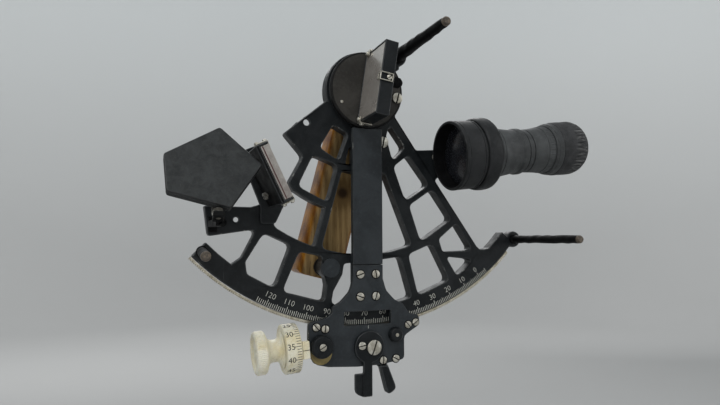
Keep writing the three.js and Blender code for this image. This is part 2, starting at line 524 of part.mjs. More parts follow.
// Cylinder along the local X axis, its centre line at the given local y.
function alongX(r, from, to, y, segments = 16) {
  const geometry = new THREE.CylinderGeometry(r, r, to - from, segments).rotateZ(-Math.PI / 2);
  return geometry.translate((from + to) / 2, y, 0);
}

buildFrame();
buildLegs();
buildHandle();
buildHorizon();
buildShade();
buildTelescope();
buildArm();
buildLowerPlate();
buildRelease();
buildMicrometer();

export default instrument;
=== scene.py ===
# The looks of a drum sextant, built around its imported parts. Lengths in the drawings are millimetres.
# A drawing lies in the frame's face plane round the index pivot: x to the right, z up, and a height h
# from the face towards -Y. place() and the other matrices take a drawing to the row frame, in metres.
import json
import math
import bmesh
import bpy
from mathutils import Matrix, Vector


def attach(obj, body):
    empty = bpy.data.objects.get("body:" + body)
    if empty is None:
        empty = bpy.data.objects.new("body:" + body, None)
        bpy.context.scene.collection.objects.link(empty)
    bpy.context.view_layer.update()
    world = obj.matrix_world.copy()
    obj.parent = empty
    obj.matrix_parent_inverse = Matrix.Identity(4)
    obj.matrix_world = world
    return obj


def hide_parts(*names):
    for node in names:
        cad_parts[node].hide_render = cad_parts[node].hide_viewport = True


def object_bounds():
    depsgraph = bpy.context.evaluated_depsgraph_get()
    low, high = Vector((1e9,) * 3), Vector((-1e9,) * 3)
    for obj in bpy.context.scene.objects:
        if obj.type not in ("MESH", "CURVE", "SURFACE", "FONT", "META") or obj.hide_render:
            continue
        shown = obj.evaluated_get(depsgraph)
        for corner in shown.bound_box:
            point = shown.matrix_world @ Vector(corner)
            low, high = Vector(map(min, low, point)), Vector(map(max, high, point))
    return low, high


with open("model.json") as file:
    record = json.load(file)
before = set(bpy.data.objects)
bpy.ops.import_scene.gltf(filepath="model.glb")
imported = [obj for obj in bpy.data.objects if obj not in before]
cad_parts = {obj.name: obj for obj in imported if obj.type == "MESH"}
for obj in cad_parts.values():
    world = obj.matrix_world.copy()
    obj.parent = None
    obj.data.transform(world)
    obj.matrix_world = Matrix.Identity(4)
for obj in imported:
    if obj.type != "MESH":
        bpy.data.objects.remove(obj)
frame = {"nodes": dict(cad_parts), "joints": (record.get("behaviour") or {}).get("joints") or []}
CAD_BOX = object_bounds()

MM = 0.001
JOINTS = {joint["name"]: joint for joint in frame["joints"]}
PIVOT = Vector(JOINTS["index_arm_swing"]["pos_m"])

# ---- camera: stands left of and a little below the instrument, and looks slightly up ----
CAMERA_SPOT = Vector((-139.6, -362.6, -100.9))   # from the index pivot
CAMERA_TURN = 20.6                               # degrees from +Y towards +X
CAMERA_RISE = 3.51
CAMERA_ROLL = -0.23
CAMERA_LENS = 28.25

# ---- dimensions shared by several pieces ----
GRIP_LEAN = 14.7
ARM_FRONT = 6.2
LIMB_SPAN = (-45.5, 45.8)
RACK_RADII = (160.5, 161.5, 162.5)
RACK_HEIGHTS = (-6.0, -0.35)
RACK_PITCH = 0.5                                 # degrees of limb for each turn of the worm
SCALE_ZERO = 34.8                                # where the scale's zero lies, degrees from straight down
SCALE_READINGS = (-5, 126)
DRUM_RADIUS = 16.0
DRUM_READING = 37.2
DRUM_DIVISIONS = 60
WORM_PITCH = 1.42
MIRROR_LEAN = 8.5
HORIZON_LEAN = -25.8
HORIZON_CENTRE = (-71.2, -63.4)
HANDLE_BOLTS = {"lower": (-24.2, -121.5), "upper": (0.6, -27)}
CAP = (-33.4, -171.2)


# ---- drawing planes and axes ----
def place(x, z, h=0.0, turn=0.0):
    spot = PIVOT + Vector((x, -h, z)) * MM
    upright = Matrix.Rotation(math.radians(90), 4, "X") @ Matrix.Rotation(math.radians(turn), 4, "Z")
    return Matrix.Translation(spot) @ upright @ Matrix.Scale(MM, 4)


def round_axis(spot, axis):
    """Local Z runs along the axis; local X faces the front, or right where the axis does that."""
    z = Vector(axis).normalized()
    x = Vector((1, 0, 0)) if abs(z.y) > 0.9 else Vector((0, -1, 0))
    x = (x - z * x.dot(z)).normalized()
    y = z.cross(x)
    turn = Matrix((x, y, z)).transposed().to_4x4()
    return Matrix.Translation(Vector(spot)) @ turn @ Matrix.Scale(MM, 4)


def leaned(x, z, degrees):
    spot = PIVOT + Vector((x, 0, z)) * MM
    return Matrix.Translation(spot) @ Matrix.Rotation(math.radians(degrees), 4, "Y") @ Matrix.Scale(MM, 4)


def sideways(matrix, y, z):
    """Turns local Z to a leaned group's X axis, at that group's y and z."""
    return matrix @ Matrix.Translation((0, y, z)) @ Matrix.Rotation(math.radians(90), 4, "Y")


def polar(radius, angle):
    return radius * math.sin(math.radians(angle)), -radius * math.cos(math.radians(angle))


SCOPE = round_axis(JOINTS["focus_ring_turn"]["pos_m"], JOINTS["focus_ring_turn"]["axis"])
DRUM = round_axis(JOINTS["drum_spin"]["pos_m"], JOINTS["drum_spin"]["axis"])
SHADE_PIN = round_axis(JOINTS["shade_swivel"]["pos_m"], JOINTS["shade_swivel"]["axis"])


# ---- materials ----
class Surface:
    """A node material on one Principled shader. Patterns follow the piece's own coordinates, in metres."""

    def __init__(self, name, **sockets):
        self.material = bpy.data.materials.new(name)
        self.material.use_nodes = True
        self.tree = self.material.node_tree
        self.shader = self.tree.nodes["Principled BSDF"]
        for key, value in sockets.items():
            self.shader.inputs[key.replace("_", " ")].default_value = value
        self.coords = self.add("ShaderNodeTexCoord").outputs["Object"]

    def add(self, kind, **settings):
        node = self.tree.nodes.new(kind)
        for key, value in settings.items():
            setattr(node, key, value)
        return node

    def feed(self, socket, value):
        if isinstance(value, bpy.types.NodeSocket):
            self.tree.links.new(value, socket)
        else:
            socket.default_value = value

    def mapped(self, stretch, turn):
        node = self.add("ShaderNodeMapping")
        self.feed(node.inputs["Vector"], self.coords)
        node.inputs["Rotation"].default_value = [math.radians(a) for a in turn]
        node.inputs["Scale"].default_value = stretch
        return node.outputs["Vector"]

    def noise(self, scale, detail=6, rough=0.6, warp=0.0, stretch=(1, 1, 1), turn=(0, 0, 0)):
        node = self.add("ShaderNodeTexNoise")
        self.feed(node.inputs["Vector"], self.mapped(stretch, turn))
        node.inputs["Scale"].default_value = scale
        node.inputs["Detail"].default_value = detail
        node.inputs["Roughness"].default_value = rough
        node.inputs["Distortion"].default_value = warp
        return node.outputs["Fac"]

    def cells(self, scale, feature="F1", stretch=(1, 1, 1), turn=(0, 0, 0)):
        node = self.add("ShaderNodeTexVoronoi", feature=feature)
        self.feed(node.inputs["Vector"], self.mapped(stretch, turn))
        node.inputs["Scale"].default_value = scale
        return node.outputs["Distance"]

    def bands(self, scale, warp, stretch=(1, 1, 1), turn=(0, 0, 0), direction="X"):
        node = self.add("ShaderNodeTexWave", wave_type="BANDS", bands_direction=direction)
        self.feed(node.inputs["Vector"], self.mapped(stretch, turn))
        node.inputs["Scale"].default_value = scale
        node.inputs["Distortion"].default_value = warp
        node.inputs["Detail"].default_value = 3
        node.inputs["Detail Scale"].default_value = 1.2
        return node.outputs["Fac"]

    def remap(self, value, low, high, to_low=0.0, to_high=1.0):
        node = self.add("ShaderNodeMapRange", interpolation_type="SMOOTHSTEP")
        for key, number in (("Value", value), ("From Min", low), ("From Max", high),
                            ("To Min", to_low), ("To Max", to_high)):
            self.feed(node.inputs[key], number)
        return node.outputs["Result"]

    def calc(self, operation, a, b=0.0):
        node = self.add("ShaderNodeMath", operation=operation)
        self.feed(node.inputs[0], a)
        self.feed(node.inputs[1], b)
        return node.outputs[0]

    def blend(self, factor, a, b):
        node = self.add("ShaderNodeMix", data_type="RGBA")
        self.feed(node.inputs[0], factor)
        self.feed(node.inputs[6], a if isinstance(a, bpy.types.NodeSocket) else (*a, 1))
        self.feed(node.inputs[7], b if isinstance(b, bpy.types.NodeSocket) else (*b, 1))
        return node.outputs[2]

    def along(self, axis):
        node = self.add("ShaderNodeSeparateXYZ")
        self.feed(node.inputs[0], self.coords)
        return node.outputs[axis]

    def distance(self, spot):
        node = self.add("ShaderNodeVectorMath", operation="DISTANCE")
        self.feed(node.inputs[0], self.coords)
        node.inputs[1].default_value = spot
        return node.outputs["Value"]

    def facing(self, direction):
        """How far the surface faces a direction of the row frame, -1 to 1."""
        node = self.add("ShaderNodeVectorMath", operation="DOT_PRODUCT")
        self.feed(node.inputs[0], self.add("ShaderNodeTexCoord").outputs["Normal"])
        node.inputs[1].default_value = direction
        return node.outputs["Value"]

    def finish(self, colour, rough, height, distance, strength=0.6, metal=None):
        self.feed(self.shader.inputs["Base Color"], colour)
        self.feed(self.shader.inputs["Roughness"], rough)
        if metal is not None:
            self.feed(self.shader.inputs["Metallic"], metal)
        bump = self.add("ShaderNodeBump")
        bump.inputs["Strength"].default_value = strength
        bump.inputs["Distance"].default_value = distance
        self.feed(bump.inputs["Height"], height)
        self.feed(self.shader.inputs["Normal"], bump.outputs["Normal"])
        return self.material


def scuffs(surface, amount):
    """Sparse scratches and rubbed spots, 0 to 1."""
    lines = surface.noise(240, 4, 0.7, 1.5, stretch=(1, 1, 0.12), turn=(0, 24, 0))
    more = surface.noise(260, 4, 0.7, 1.2, stretch=(0.1, 1, 1), turn=(0, -31, 0))
    spots = surface.noise(520, 8, 0.75)
    fine = surface.calc("MAXIMUM", surface.remap(lines, 0.66, 0.74), surface.remap(more, 0.68, 0.75))
    both = surface.calc("MAXIMUM", fine, surface.remap(spots, 0.64, 0.72))
    where = surface.remap(surface.noise(34, 5), 0.62 - amount * 0.3, 0.8 - amount * 0.2)
    return surface.calc("MULTIPLY", both, where)


def painted(name, dark, light, rubbed, rough=0.42, wear=0.5, gloss=0.22, fine=1.0):
    """Old satin enamel: cloudy, lightly orange-peeled, rubbed in places. A larger fine, smaller clouds."""
    s = Surface(name, Specular_IOR_Level=gloss)
    clouds = s.noise(60 * fine, 8, 0.68, 0.6)
    grime = s.noise(380 * fine, 6, 0.7)
    base = s.blend(s.remap(clouds, 0.35, 0.68), dark, light)
    dusty = s.blend(s.remap(grime, 0.5, 0.75, 0.0, 0.45), base, [c * 1.6 for c in light])
    worn = scuffs(s, wear)
    colour = s.blend(s.calc("MULTIPLY", worn, 0.75), dusty, rubbed)
    satin = s.remap(s.noise(130, 6), 0.3, 0.7, rough - 0.09, rough + 0.13)
    height = s.calc("SUBTRACT", s.noise(1500, 3), s.calc("MULTIPLY", worn, 0.6))
    return s.finish(colour, satin, height, 0.00012, 0.35)


def edge_wear(name, paint, metal, share=0.5):
    """The rounded edge of a painted piece, rubbed through to metal in patches."""
    s = Surface(name, Specular_IOR_Level=0.5)
    patches = s.noise(95, 8, 0.72, 0.4)
    chips = s.noise(620, 5, 0.7)
    worn = s.calc("ADD", patches, s.calc("MULTIPLY", chips, 0.35))
    bare = s.remap(worn, 0.84 - share * 0.22, 0.92 - share * 0.2)
    soft = s.blend(s.remap(chips, 0.35, 0.7), paint, [c * 2.2 for c in paint])
    colour = s.blend(bare, soft, metal)
    rough = s.remap(bare, 0, 1, 0.42, 0.36)
    return s.finish(colour, rough, chips, 0.0001, 0.4, metal=s.calc("MULTIPLY", bare, 0.7))


def plated(name, bright, dull, stain, rough=0.3):
    """Nickel or bronze with a dull bloom and dirt in the low places."""
    s = Surface(name, Metallic=1.0)
    bloom = s.noise(210, 7, 0.7, 0.5)
    dirt = s.noise(900, 5, 0.75)
    colour = s.blend(s.remap(bloom, 0.36, 0.62), bright, dull)
    colour = s.blend(s.remap(dirt, 0.55, 0.68, 0.0, 0.8), colour, stain)
    brushed = s.noise(2600, 2, 0.5, stretch=(1, 0.05, 0.3))
    roughness = s.remap(bloom, 0.35, 0.7, rough, rough + 0.22)
    return s.finish(colour, roughness, s.calc("ADD", brushed, dirt), 0.00006, 0.35)


def ivory_plastic():
    """Aged ivory plastic, yellowed in patches, with dirt in fine crazing."""
    s = Surface("ivory_plastic", Subsurface_Weight=0.12, Subsurface_Scale=0.002, Coat_Weight=0.15,
                Coat_Roughness=0.3)
    s.shader.inputs["Subsurface Radius"].default_value = (1.0, 0.8, 0.5)
    age = s.noise(70, 7, 0.65, 0.8)
    crazing = s.cells(420, "DISTANCE_TO_EDGE")
    specks = s.noise(1300, 4, 0.8)
    colour = s.blend(s.remap(age, 0.36, 0.66), (0.85, 0.82, 0.68), (0.73, 0.65, 0.42))
    colour = s.blend(s.remap(crazing, 0.05, 0.0, 0.0, 0.22), colour, (0.2, 0.15, 0.08))
    colour = s.blend(s.remap(specks, 0.66, 0.74, 0.0, 0.6), colour, (0.12, 0.1, 0.07))
    rough = s.remap(s.noise(200, 6), 0.3, 0.7, 0.3, 0.5)
    return s.finish(colour, rough, s.noise(700, 5, 0.7), 0.00012, 0.3)


def varnished_wood():
    """Hardwood with a dark knot: orange varnish on the flanks, worn to tan on the side towards the frame."""
    s = Surface("varnished_wood", Specular_IOR_Level=0.2, Coat_Weight=0.06, Coat_Roughness=0.25)
    lean = (0, GRIP_LEAN, 0)
    wander = s.noise(26, 4, 0.6, 0.4, stretch=(1, 1, 0.25), turn=lean)
    knot = s.distance(PIVOT + Vector((-9, 21, -69.3)) * MM)
    pull = s.remap(knot, 0.0, 0.016, 0.55, 0.0)
    rings = s.bands(70, 5.5, stretch=(1, 1, 0.09), turn=lean)
    fibres = s.noise(900, 5, 0.7, 0.2, stretch=(1, 1, 0.03), turn=lean)
    pores = s.remap(s.noise(2400, 2, 0.5, stretch=(1, 1, 0.05), turn=lean), 0.6, 0.7)
    grain = s.calc("ADD", s.calc("MULTIPLY", rings, 0.22), s.calc("MULTIPLY", fibres, 0.6))
    grain = s.calc("ADD", grain, s.calc("SUBTRACT", s.calc("MULTIPLY", wander, 0.3), pull))
    varnish = s.blend(s.remap(grain, 0.35, 0.85), (0.15, 0.045, 0.002), (0.50, 0.205, 0.010))
    bare = s.blend(s.remap(grain, 0.3, 0.85), (0.19, 0.115, 0.042), (0.40, 0.27, 0.115))
    palm = s.calc("ADD", s.facing((0, -1, 0)), s.remap(wander, 0.3, 0.7, -0.12, 0.12))
    worn = s.remap(palm, 0.72, 0.95)
    colour = s.blend(worn, varnish, bare)
    colour = s.blend(s.remap(knot, 0.0055, 0.002, 0.0, 0.9), colour, (0.03, 0.014, 0.006))
    colour = s.blend(s.calc("MULTIPLY", pores, 0.55), colour, (0.05, 0.022, 0.008))
    rough = s.calc("ADD", s.remap(worn, 0, 1, 0.3, 0.62), s.calc("MULTIPLY", fibres, 0.12))
    height = s.calc("SUBTRACT", s.calc("MULTIPLY", fibres, 0.6), pores)
    return s.finish(colour, rough, height, 0.00025, 0.45)


def old_mirror():
    """Silvered glass gone brownish, with foxing that grows from its edges."""
    s = Surface("old_mirror", Metallic=0.45, Coat_Weight=0.4, Coat_Roughness=0.12)
    clouds = s.noise(70, 8, 0.7, 1.0)
    spots = s.noise(520, 6, 0.8)
    fox = s.remap(s.calc("ADD", clouds, s.calc("MULTIPLY", spots, 0.5)), 0.86, 1.0)
    colour = s.blend(s.remap(clouds, 0.3, 0.7), (0.52, 0.485, 0.44), (0.39, 0.355, 0.32))
    colour = s.blend(fox, colour, (0.16, 0.12, 0.09))
    rough = s.calc("ADD", s.remap(clouds, 0.4, 0.8, 0.2, 0.34), s.calc("MULTIPLY", fox, 0.4))
    return s.finish(colour, rough, spots, 0.00002, 0.2)


def glass_edge():
    """Ground edge of the mirror glass: greyish beige, with the silvering showing as a darker line."""
    s = Surface("glass_edge", Specular_IOR_Level=0.6)
    grind = s.noise(1500, 5, 0.7, stretch=(1, 1, 0.2))
    stains = s.noise(90, 6, 0.7)
    colour = s.blend(s.remap(stains, 0.35, 0.65), (0.36, 0.34, 0.31), (0.22, 0.195, 0.18))
    colour = s.blend(s.remap(grind, 0.55, 0.75, 0.0, 0.5), colour, (0.42, 0.42, 0.37))
    return s.finish(colour, s.remap(grind, 0.3, 0.7, 0.3, 0.5), grind, 0.0001, 0.4)


def coated_lens():
    s = Surface("coated_lens", Specular_IOR_Level=0.35)
    dust = s.noise(900, 6, 0.75)
    smear = s.noise(60, 5, 0.6, 1.0)
    colour = s.blend(s.remap(smear, 0.3, 0.7), (0.013, 0.014, 0.017), (0.026, 0.028, 0.033))
    colour = s.blend(s.remap(dust, 0.68, 0.8, 0.0, 0.35), colour, (0.2, 0.2, 0.19))
    return s.finish(colour, s.remap(dust, 0.4, 0.8, 0.2, 0.4), smear, 0.00002, 0.1)


def cast_rubber():
    """Perished rubber of the eyecup: grey bloom and fine cracks."""
    s = Surface("cast_rubber", Specular_IOR_Level=0.3)
    bloom = s.noise(120, 7, 0.7, 0.5)
    cracks = s.remap(s.cells(700, "DISTANCE_TO_EDGE"), 0.04, 0.0)
    colour = s.blend(s.remap(bloom, 0.35, 0.7), (0.02, 0.021, 0.022), (0.055, 0.056, 0.058))
    colour = s.blend(s.calc("MULTIPLY", cracks, 0.5), colour, (0.008, 0.008, 0.008))
    pulled = s.remap(s.along(0), 0.153, 0.158)
    streaks = s.remap(s.noise(700, 4, 0.7, stretch=(0.06, 1, 1)), 0.5, 0.62)
    colour = s.blend(s.calc("MULTIPLY", pulled, streaks), colour, (0.13, 0.13, 0.128))
    height = s.calc("SUBTRACT", s.noise(1100, 4), s.calc("MULTIPLY", cracks, 0.5))
    return s.finish(colour, s.remap(bloom, 0.3, 0.7, 0.62, 0.82), height, 0.0002, 0.5)


def mark_paint(name, colour, lost, wear=0.75):
    """Paint that fills engraved figures, partly worn away to the colour around them."""
    s = Surface(name, Specular_IOR_Level=0.3)
    gone = s.remap(s.noise(900, 6, 0.7), 0.56, 0.68, 0.0, wear)
    shade = s.blend(gone, colour, lost)
    return s.finish(shade, s.remap(gone, 0, 1, 0.55, 0.7), gone, 0.00003, 0.3)


def tan_fibre():
    s = Surface("tan_fibre")
    fibres = s.noise(700, 6, 0.7, 0.6, stretch=(1, 1, 0.3))
    oil = s.noise(110, 5, 0.6)
    colour = s.blend(s.remap(oil, 0.38, 0.62), (0.24, 0.185, 0.065), (0.12, 0.09, 0.035))
    colour = s.blend(s.remap(fibres, 0.5, 0.7, 0.0, 0.4), colour, (0.32, 0.26, 0.12))
    return s.finish(colour, s.remap(fibres, 0.3, 0.7, 0.6, 0.8), fibres, 0.0002, 0.5)


def worn_tip():
    """Bare, handled leg tip."""
    s = Surface("worn_tip", Metallic=0.15)
    rub = s.noise(400, 7, 0.7)
    colour = s.blend(s.remap(rub, 0.36, 0.62), (0.16, 0.125, 0.09), (0.06, 0.048, 0.037))
    colour = s.blend(s.remap(s.noise(1100, 4, 0.7), 0.56, 0.7), colour, (0.045, 0.04, 0.035))
    return s.finish(colour, s.remap(rub, 0.3, 0.7, 0.4, 0.65), rub, 0.00015, 0.4)


BLACK = painted("black_enamel", (0.0045, 0.006, 0.007), (0.0125, 0.0145, 0.016), (0.075, 0.08, 0.08))
EDGE = edge_wear("black_enamel_edge", (0.010, 0.012, 0.013), (0.22, 0.22, 0.205), 0.34)
ARM_BLACK = painted("arm_enamel", (0.0150, 0.0185, 0.0215), (0.026, 0.031, 0.035), (0.09, 0.095, 0.095), 0.46,
                    0.35, 0.3)
LEG_BLACK = painted("leg_enamel", (0.002, 0.002, 0.0024), (0.006, 0.0064, 0.0064), (0.045, 0.045, 0.043), 0.6,
                    0.5, 0.1)
CELL_BLACK = painted("objective_enamel", (0.009, 0.010, 0.0105), (0.021, 0.022, 0.0235),
                     (0.09, 0.09, 0.09), 0.5, 0.4, 0.25)
TUBE_BLACK = painted("telescope_enamel", (0.034, 0.036, 0.037), (0.062, 0.066, 0.067),
                     (0.13, 0.13, 0.13), 0.55, 0.4, 0.3)
TABLE = painted("table_enamel", (0.022, 0.0205, 0.018), (0.042, 0.0395, 0.035),
                (0.10, 0.095, 0.085), 0.6, 0.6, 0.25)
TABLE_RING = painted("table_ring", (0.004, 0.004, 0.004), (0.010, 0.010, 0.0095),
                     (0.06, 0.058, 0.052), 0.5, 0.5, 0.2)
CHARCOAL = painted("shade_coating", (0.020, 0.022, 0.0225), (0.034, 0.037, 0.0375),
                   (0.085, 0.09, 0.09), 0.62, 0.7, 0.25, fine=3.0)
# The shade plates' rounded edges take paint far darker than their faces, as painted shade, with a few patches
# rubbed to dull metal.
CHARCOAL_EDGE_PAINTED_SHADE = edge_wear("shade_plate_edge_wear_and_painted_shade", (0.005, 0.0055, 0.006), (0.10, 0.10, 0.097), 0.15)
# Near-black paint: the blackened inside of the objective barrel, and painted shade on screw-slot floors and
# in rings round the plate screws.
INSIDE_BLACK_AND_PAINTED_SHADE = painted("blackened_inside_and_painted_shade", (0.0018, 0.0018, 0.002), (0.005, 0.005, 0.0055),
                 (0.02, 0.02, 0.02), 0.8, 0.2, 0.08)
NICKEL = plated("dull_nickel", (0.66, 0.64, 0.57), (0.42, 0.395, 0.33), (0.09, 0.075, 0.055), 0.38)
DARK_NICKEL = plated("tarnished_nickel", (0.34, 0.33, 0.30), (0.16, 0.15, 0.13), (0.03, 0.026, 0.02), 0.42)
RIM = plated("bare_limb_edge", (0.68, 0.64, 0.54), (0.42, 0.38, 0.29), (0.14, 0.11, 0.07), 0.36)
BRONZE = plated("oiled_bronze", (0.46, 0.31, 0.13), (0.25, 0.165, 0.075), (0.06, 0.04, 0.02))
IVORY = ivory_plastic()
WOOD = varnished_wood()
MIRROR = old_mirror()
GLASS_EDGE = glass_edge()
LENS = coated_lens()
RUBBER = cast_rubber()
WHITE_MARK = mark_paint("white_filling", (0.62, 0.62, 0.56), (0.05, 0.054, 0.054))
BLACK_MARK = mark_paint("black_filling", (0.004, 0.004, 0.004), (0.2, 0.18, 0.14), 0.3)
SILVERING = mark_paint("silvering_line", (0.075, 0.028, 0.026), (0.02, 0.017, 0.016))
TAN = tan_fibre()
TIP = worn_tip()
# Screw heads: nickel, with painted shade in the near-black slot floor.
SCREW = [NICKEL, INSIDE_BLACK_AND_PAINTED_SHADE]


# ---- making pieces ----
SMOOTH_LIMIT = math.radians(38)


def piece(name, bm, matrix, materials, body, slot, *nodes):
    """Turns a drawing into a finished piece that rides on a body and may stand for CAD nodes."""
    bm.transform(matrix)
    bmesh.ops.recalc_face_normals(bm, faces=bm.faces)
    for face in bm.faces:
        face.smooth = True
    for edge in bm.edges:
        edge.smooth = edge.calc_face_angle(0) < SMOOTH_LIMIT
    mesh = bpy.data.meshes.new(name)
    bm.to_mesh(mesh)
    bm.free()
    for material in materials:
        mesh.materials.append(material)
    made = bpy.data.objects.new(name, mesh)
    bpy.context.scene.collection.objects.link(made)
    normals = made.modifiers.new("normals", "WEIGHTED_NORMAL")
    normals.keep_sharp = True
    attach(made, body)
    if nodes:
        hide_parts(*nodes)
    return made


def eased(node, width, body, slot, materials, steps=3, name=None, pierced=False):
    """The CAD piece again, its sharp edges rounded over; the rounded strips take the second material.

    A pierced piece keeps its triangles, as a flat face of many corners could close over its holes."""
    bm = bmesh.new()
    bm.from_mesh(frame["nodes"][node].data)
    bmesh.ops.remove_doubles(bm, verts=bm.verts, dist=2e-6)
    if not pierced:
        bmesh.ops.dissolve_limit(bm, angle_limit=math.radians(0.6), verts=bm.verts, edges=bm.edges)
    for face in bm.faces:
        face.material_index = 0
    sharp = [e for e in bm.edges if e.is_manifold and e.calc_face_angle(0) > math.radians(34)]
    bmesh.ops.bevel(bm, geom=sharp, offset=width * MM, offset_type="OFFSET", segments=steps, profile=0.5,
                    affect="EDGES", clamp_overlap=False, material=len(materials) - 1)
    return piece(name or f"{node}_finished", bm, Matrix.Identity(4), materials, body, slot, node)


def softened(points, closed=False, steps=4):
    """Rounds the corners of a profile; a corner's third number is its radius."""
    made = []
    count = len(points)
    for i, (along, radius, *ease) in enumerate(points):
        here = Vector((along, radius))
        if not ease or (not closed and i in (0, count - 1)):
            made.append(tuple(here))
            continue
        before = Vector(points[i - 1][:2])
        after = Vector(points[(i + 1) % count][:2])
        cut_a = min(ease[0], (before - here).length * 0.49)
        cut_b = min(ease[0], (after - here).length * 0.49)
        start = here + (before - here).normalized() * cut_a
        end = here + (after - here).normalized() * cut_b
        for k in range(steps + 1):
            t = k / steps
            made.append(tuple(start * (1 - t) ** 2 + here * (2 * t * (1 - t)) + end * t ** 2))
    return made


def lathe(profile, segments=96, closed=False, swell=None, zone=None):
    """A body turned round local Z from (along, radius) pairs.

    swell adds to the radius, and zone picks a material."""
    bm = bmesh.new()
    rings = []
    for along, radius in profile:
        if radius < 1e-6:
            rings.append([bm.verts.new((0, 0, along))])
            continue
        ring = []
        for k in range(segments):
            angle = math.tau * k / segments
            out = radius + (swell(along, angle, radius) if swell else 0)
            ring.append(bm.verts.new((out * math.cos(angle), out * math.sin(angle), along)))
        rings.append(ring)
    pairs = list(zip(rings, rings[1:]))
    middles = [((a[0] + b[0]) / 2, (a[1] + b[1]) / 2) for a, b in zip(profile, profile[1:])]
    if closed:
        pairs.append((rings[-1], rings[0]))
        middles.append(((profile[-1][0] + profile[0][0]) / 2, (profile[-1][1] + profile[0][1]) / 2))
    for (low, high), middle in zip(pairs, middles):
        if len(low) == 1 and len(high) == 1:
            continue
        for k in range(segments):
            n = (k + 1) % segments
            corners = [low[k % len(low)], low[n % len(low)], high[n % len(high)], high[k % len(high)]]
            face = bm.faces.new(list(dict.fromkeys(corners)))
            face.material_index = int(zone(*middle)) if zone else 0
    return bm


def dense(profile, step):
    """More points along a profile, so that a pattern on it has somewhere to go."""
    made = []
    for (a, ra), (b, rb) in zip(profile, profile[1:]):
        count = max(1, round(math.hypot(b - a, rb - ra) / step))
        made.extend((a + (b - a) * k / count, ra + (rb - ra) * k / count) for k in range(count))
    return made + [profile[-1]]


def block(x0, x1, y0, y1, z0, z1, ease=0.0):
    bm = bmesh.new()
    size = Vector((abs(x1 - x0), abs(y1 - y0), abs(z1 - z0)))
    centre = Vector(((x0 + x1) / 2, (y0 + y1) / 2, (z0 + z1) / 2))
    bmesh.ops.create_cube(bm, size=1, matrix=Matrix.Translation(centre) @ Matrix.Diagonal((*size, 1)))
    if ease:
        bmesh.ops.bevel(bm, geom=bm.edges[:], offset=ease, segments=3, profile=0.5, affect="EDGES")
    return bm


def join(drawings, matrices=None):
    """Several drawings in one, each moved by its own matrix."""
    whole = bmesh.new()
    for k, bm in enumerate(drawings):
        if matrices:
            bm.transform(matrices[k])
        mesh = bpy.data.meshes.new("part")
        bm.to_mesh(mesh)
        bm.free()
        whole.from_mesh(mesh)
        bpy.data.meshes.remove(mesh)
    return whole


def cut(bm, cutter):
    """The first drawing with the second taken away."""
    holders = []
    for source in (bm, cutter):
        bmesh.ops.recalc_face_normals(source, faces=source.faces)
        mesh = bpy.data.meshes.new("part")
        source.to_mesh(mesh)
        source.free()
        holder = bpy.data.objects.new("part", mesh)
        bpy.context.scene.collection.objects.link(holder)
        holders.append(holder)
    tool = holders[0].modifiers.new("cut", "BOOLEAN")
    tool.operation = "DIFFERENCE"
    tool.solver = "EXACT"
    tool.object = holders[1]
    bpy.context.view_layer.update()
    result = bmesh.new()
    result.from_object(holders[0], bpy.context.evaluated_depsgraph_get())
    for holder in holders:
        mesh = holder.data
        bpy.data.objects.remove(holder)
        bpy.data.meshes.remove(mesh)
    return result


def screw(radius, head, turn=0.0, dome=0.25, slot=0.28):
    """A slotted head standing on z = 0: two halves on a disc, which takes the second material, painted shade
    in the slot.
    """
    floor = head * 0.45
    profile = softened([(0, 0), (0, radius), (head * 0.75, radius, head * 0.3),
                        (head, radius * 0.8, radius * 0.2), (head + dome, 0)])
    # The disc shows as the slot's floor; its near-black second material is painted shade there.
    disc = lathe([(0, 0), (0, radius * 0.97), (floor, radius * 0.97), (floor, 0)], 40)
    for face in disc.faces:
        face.material_index = 1
    halves = []
    for side in (90, -90):
        angle = math.radians(turn + side)
        across = Vector((math.cos(angle), math.sin(angle), 0))
        half = lathe(profile, 40)
        bmesh.ops.bisect_plane(half, geom=half.verts[:] + half.edges[:] + half.faces[:], clear_inner=True,
                               plane_co=across * (radius * slot / 2), plane_no=across)
        bmesh.ops.holes_fill(half, edges=[edge for edge in half.edges if edge.is_boundary])
        halves.append(half)
    return join([disc, *halves])


def lettering(text, size, thickness, weight):
    """Flat figures centred on the origin, a hair above z = 0; weight thickens or thins their strokes."""
    data = bpy.data.curves.new("figures", "FONT")
    data.body = text
    data.size = size
    data.align_x = "CENTER"
    data.align_y = "CENTER"
    data.extrude = thickness / 2
    data.offset = weight * size
    data.resolution_u = 3
    holder = bpy.data.objects.new("figures", data)
    bpy.context.scene.collection.objects.link(holder)
    bpy.context.view_layer.update()
    bm = bmesh.new()
    bm.from_mesh(holder.to_mesh())
    bpy.data.objects.remove(holder)
    bpy.data.curves.remove(data)
    bmesh.ops.remove_doubles(bm, verts=bm.verts, dist=1e-4)
    bm.transform(Matrix.Translation((0, 0, thickness / 2)))
    return bm


# ---- frame, limb and scale ----
def wavy(scale, depth):
    """A slow unevenness for hand-finished rods."""
    return lambda along, angle, _: depth * math.sin(along * scale + 2 * math.sin(angle + along * 0.13))


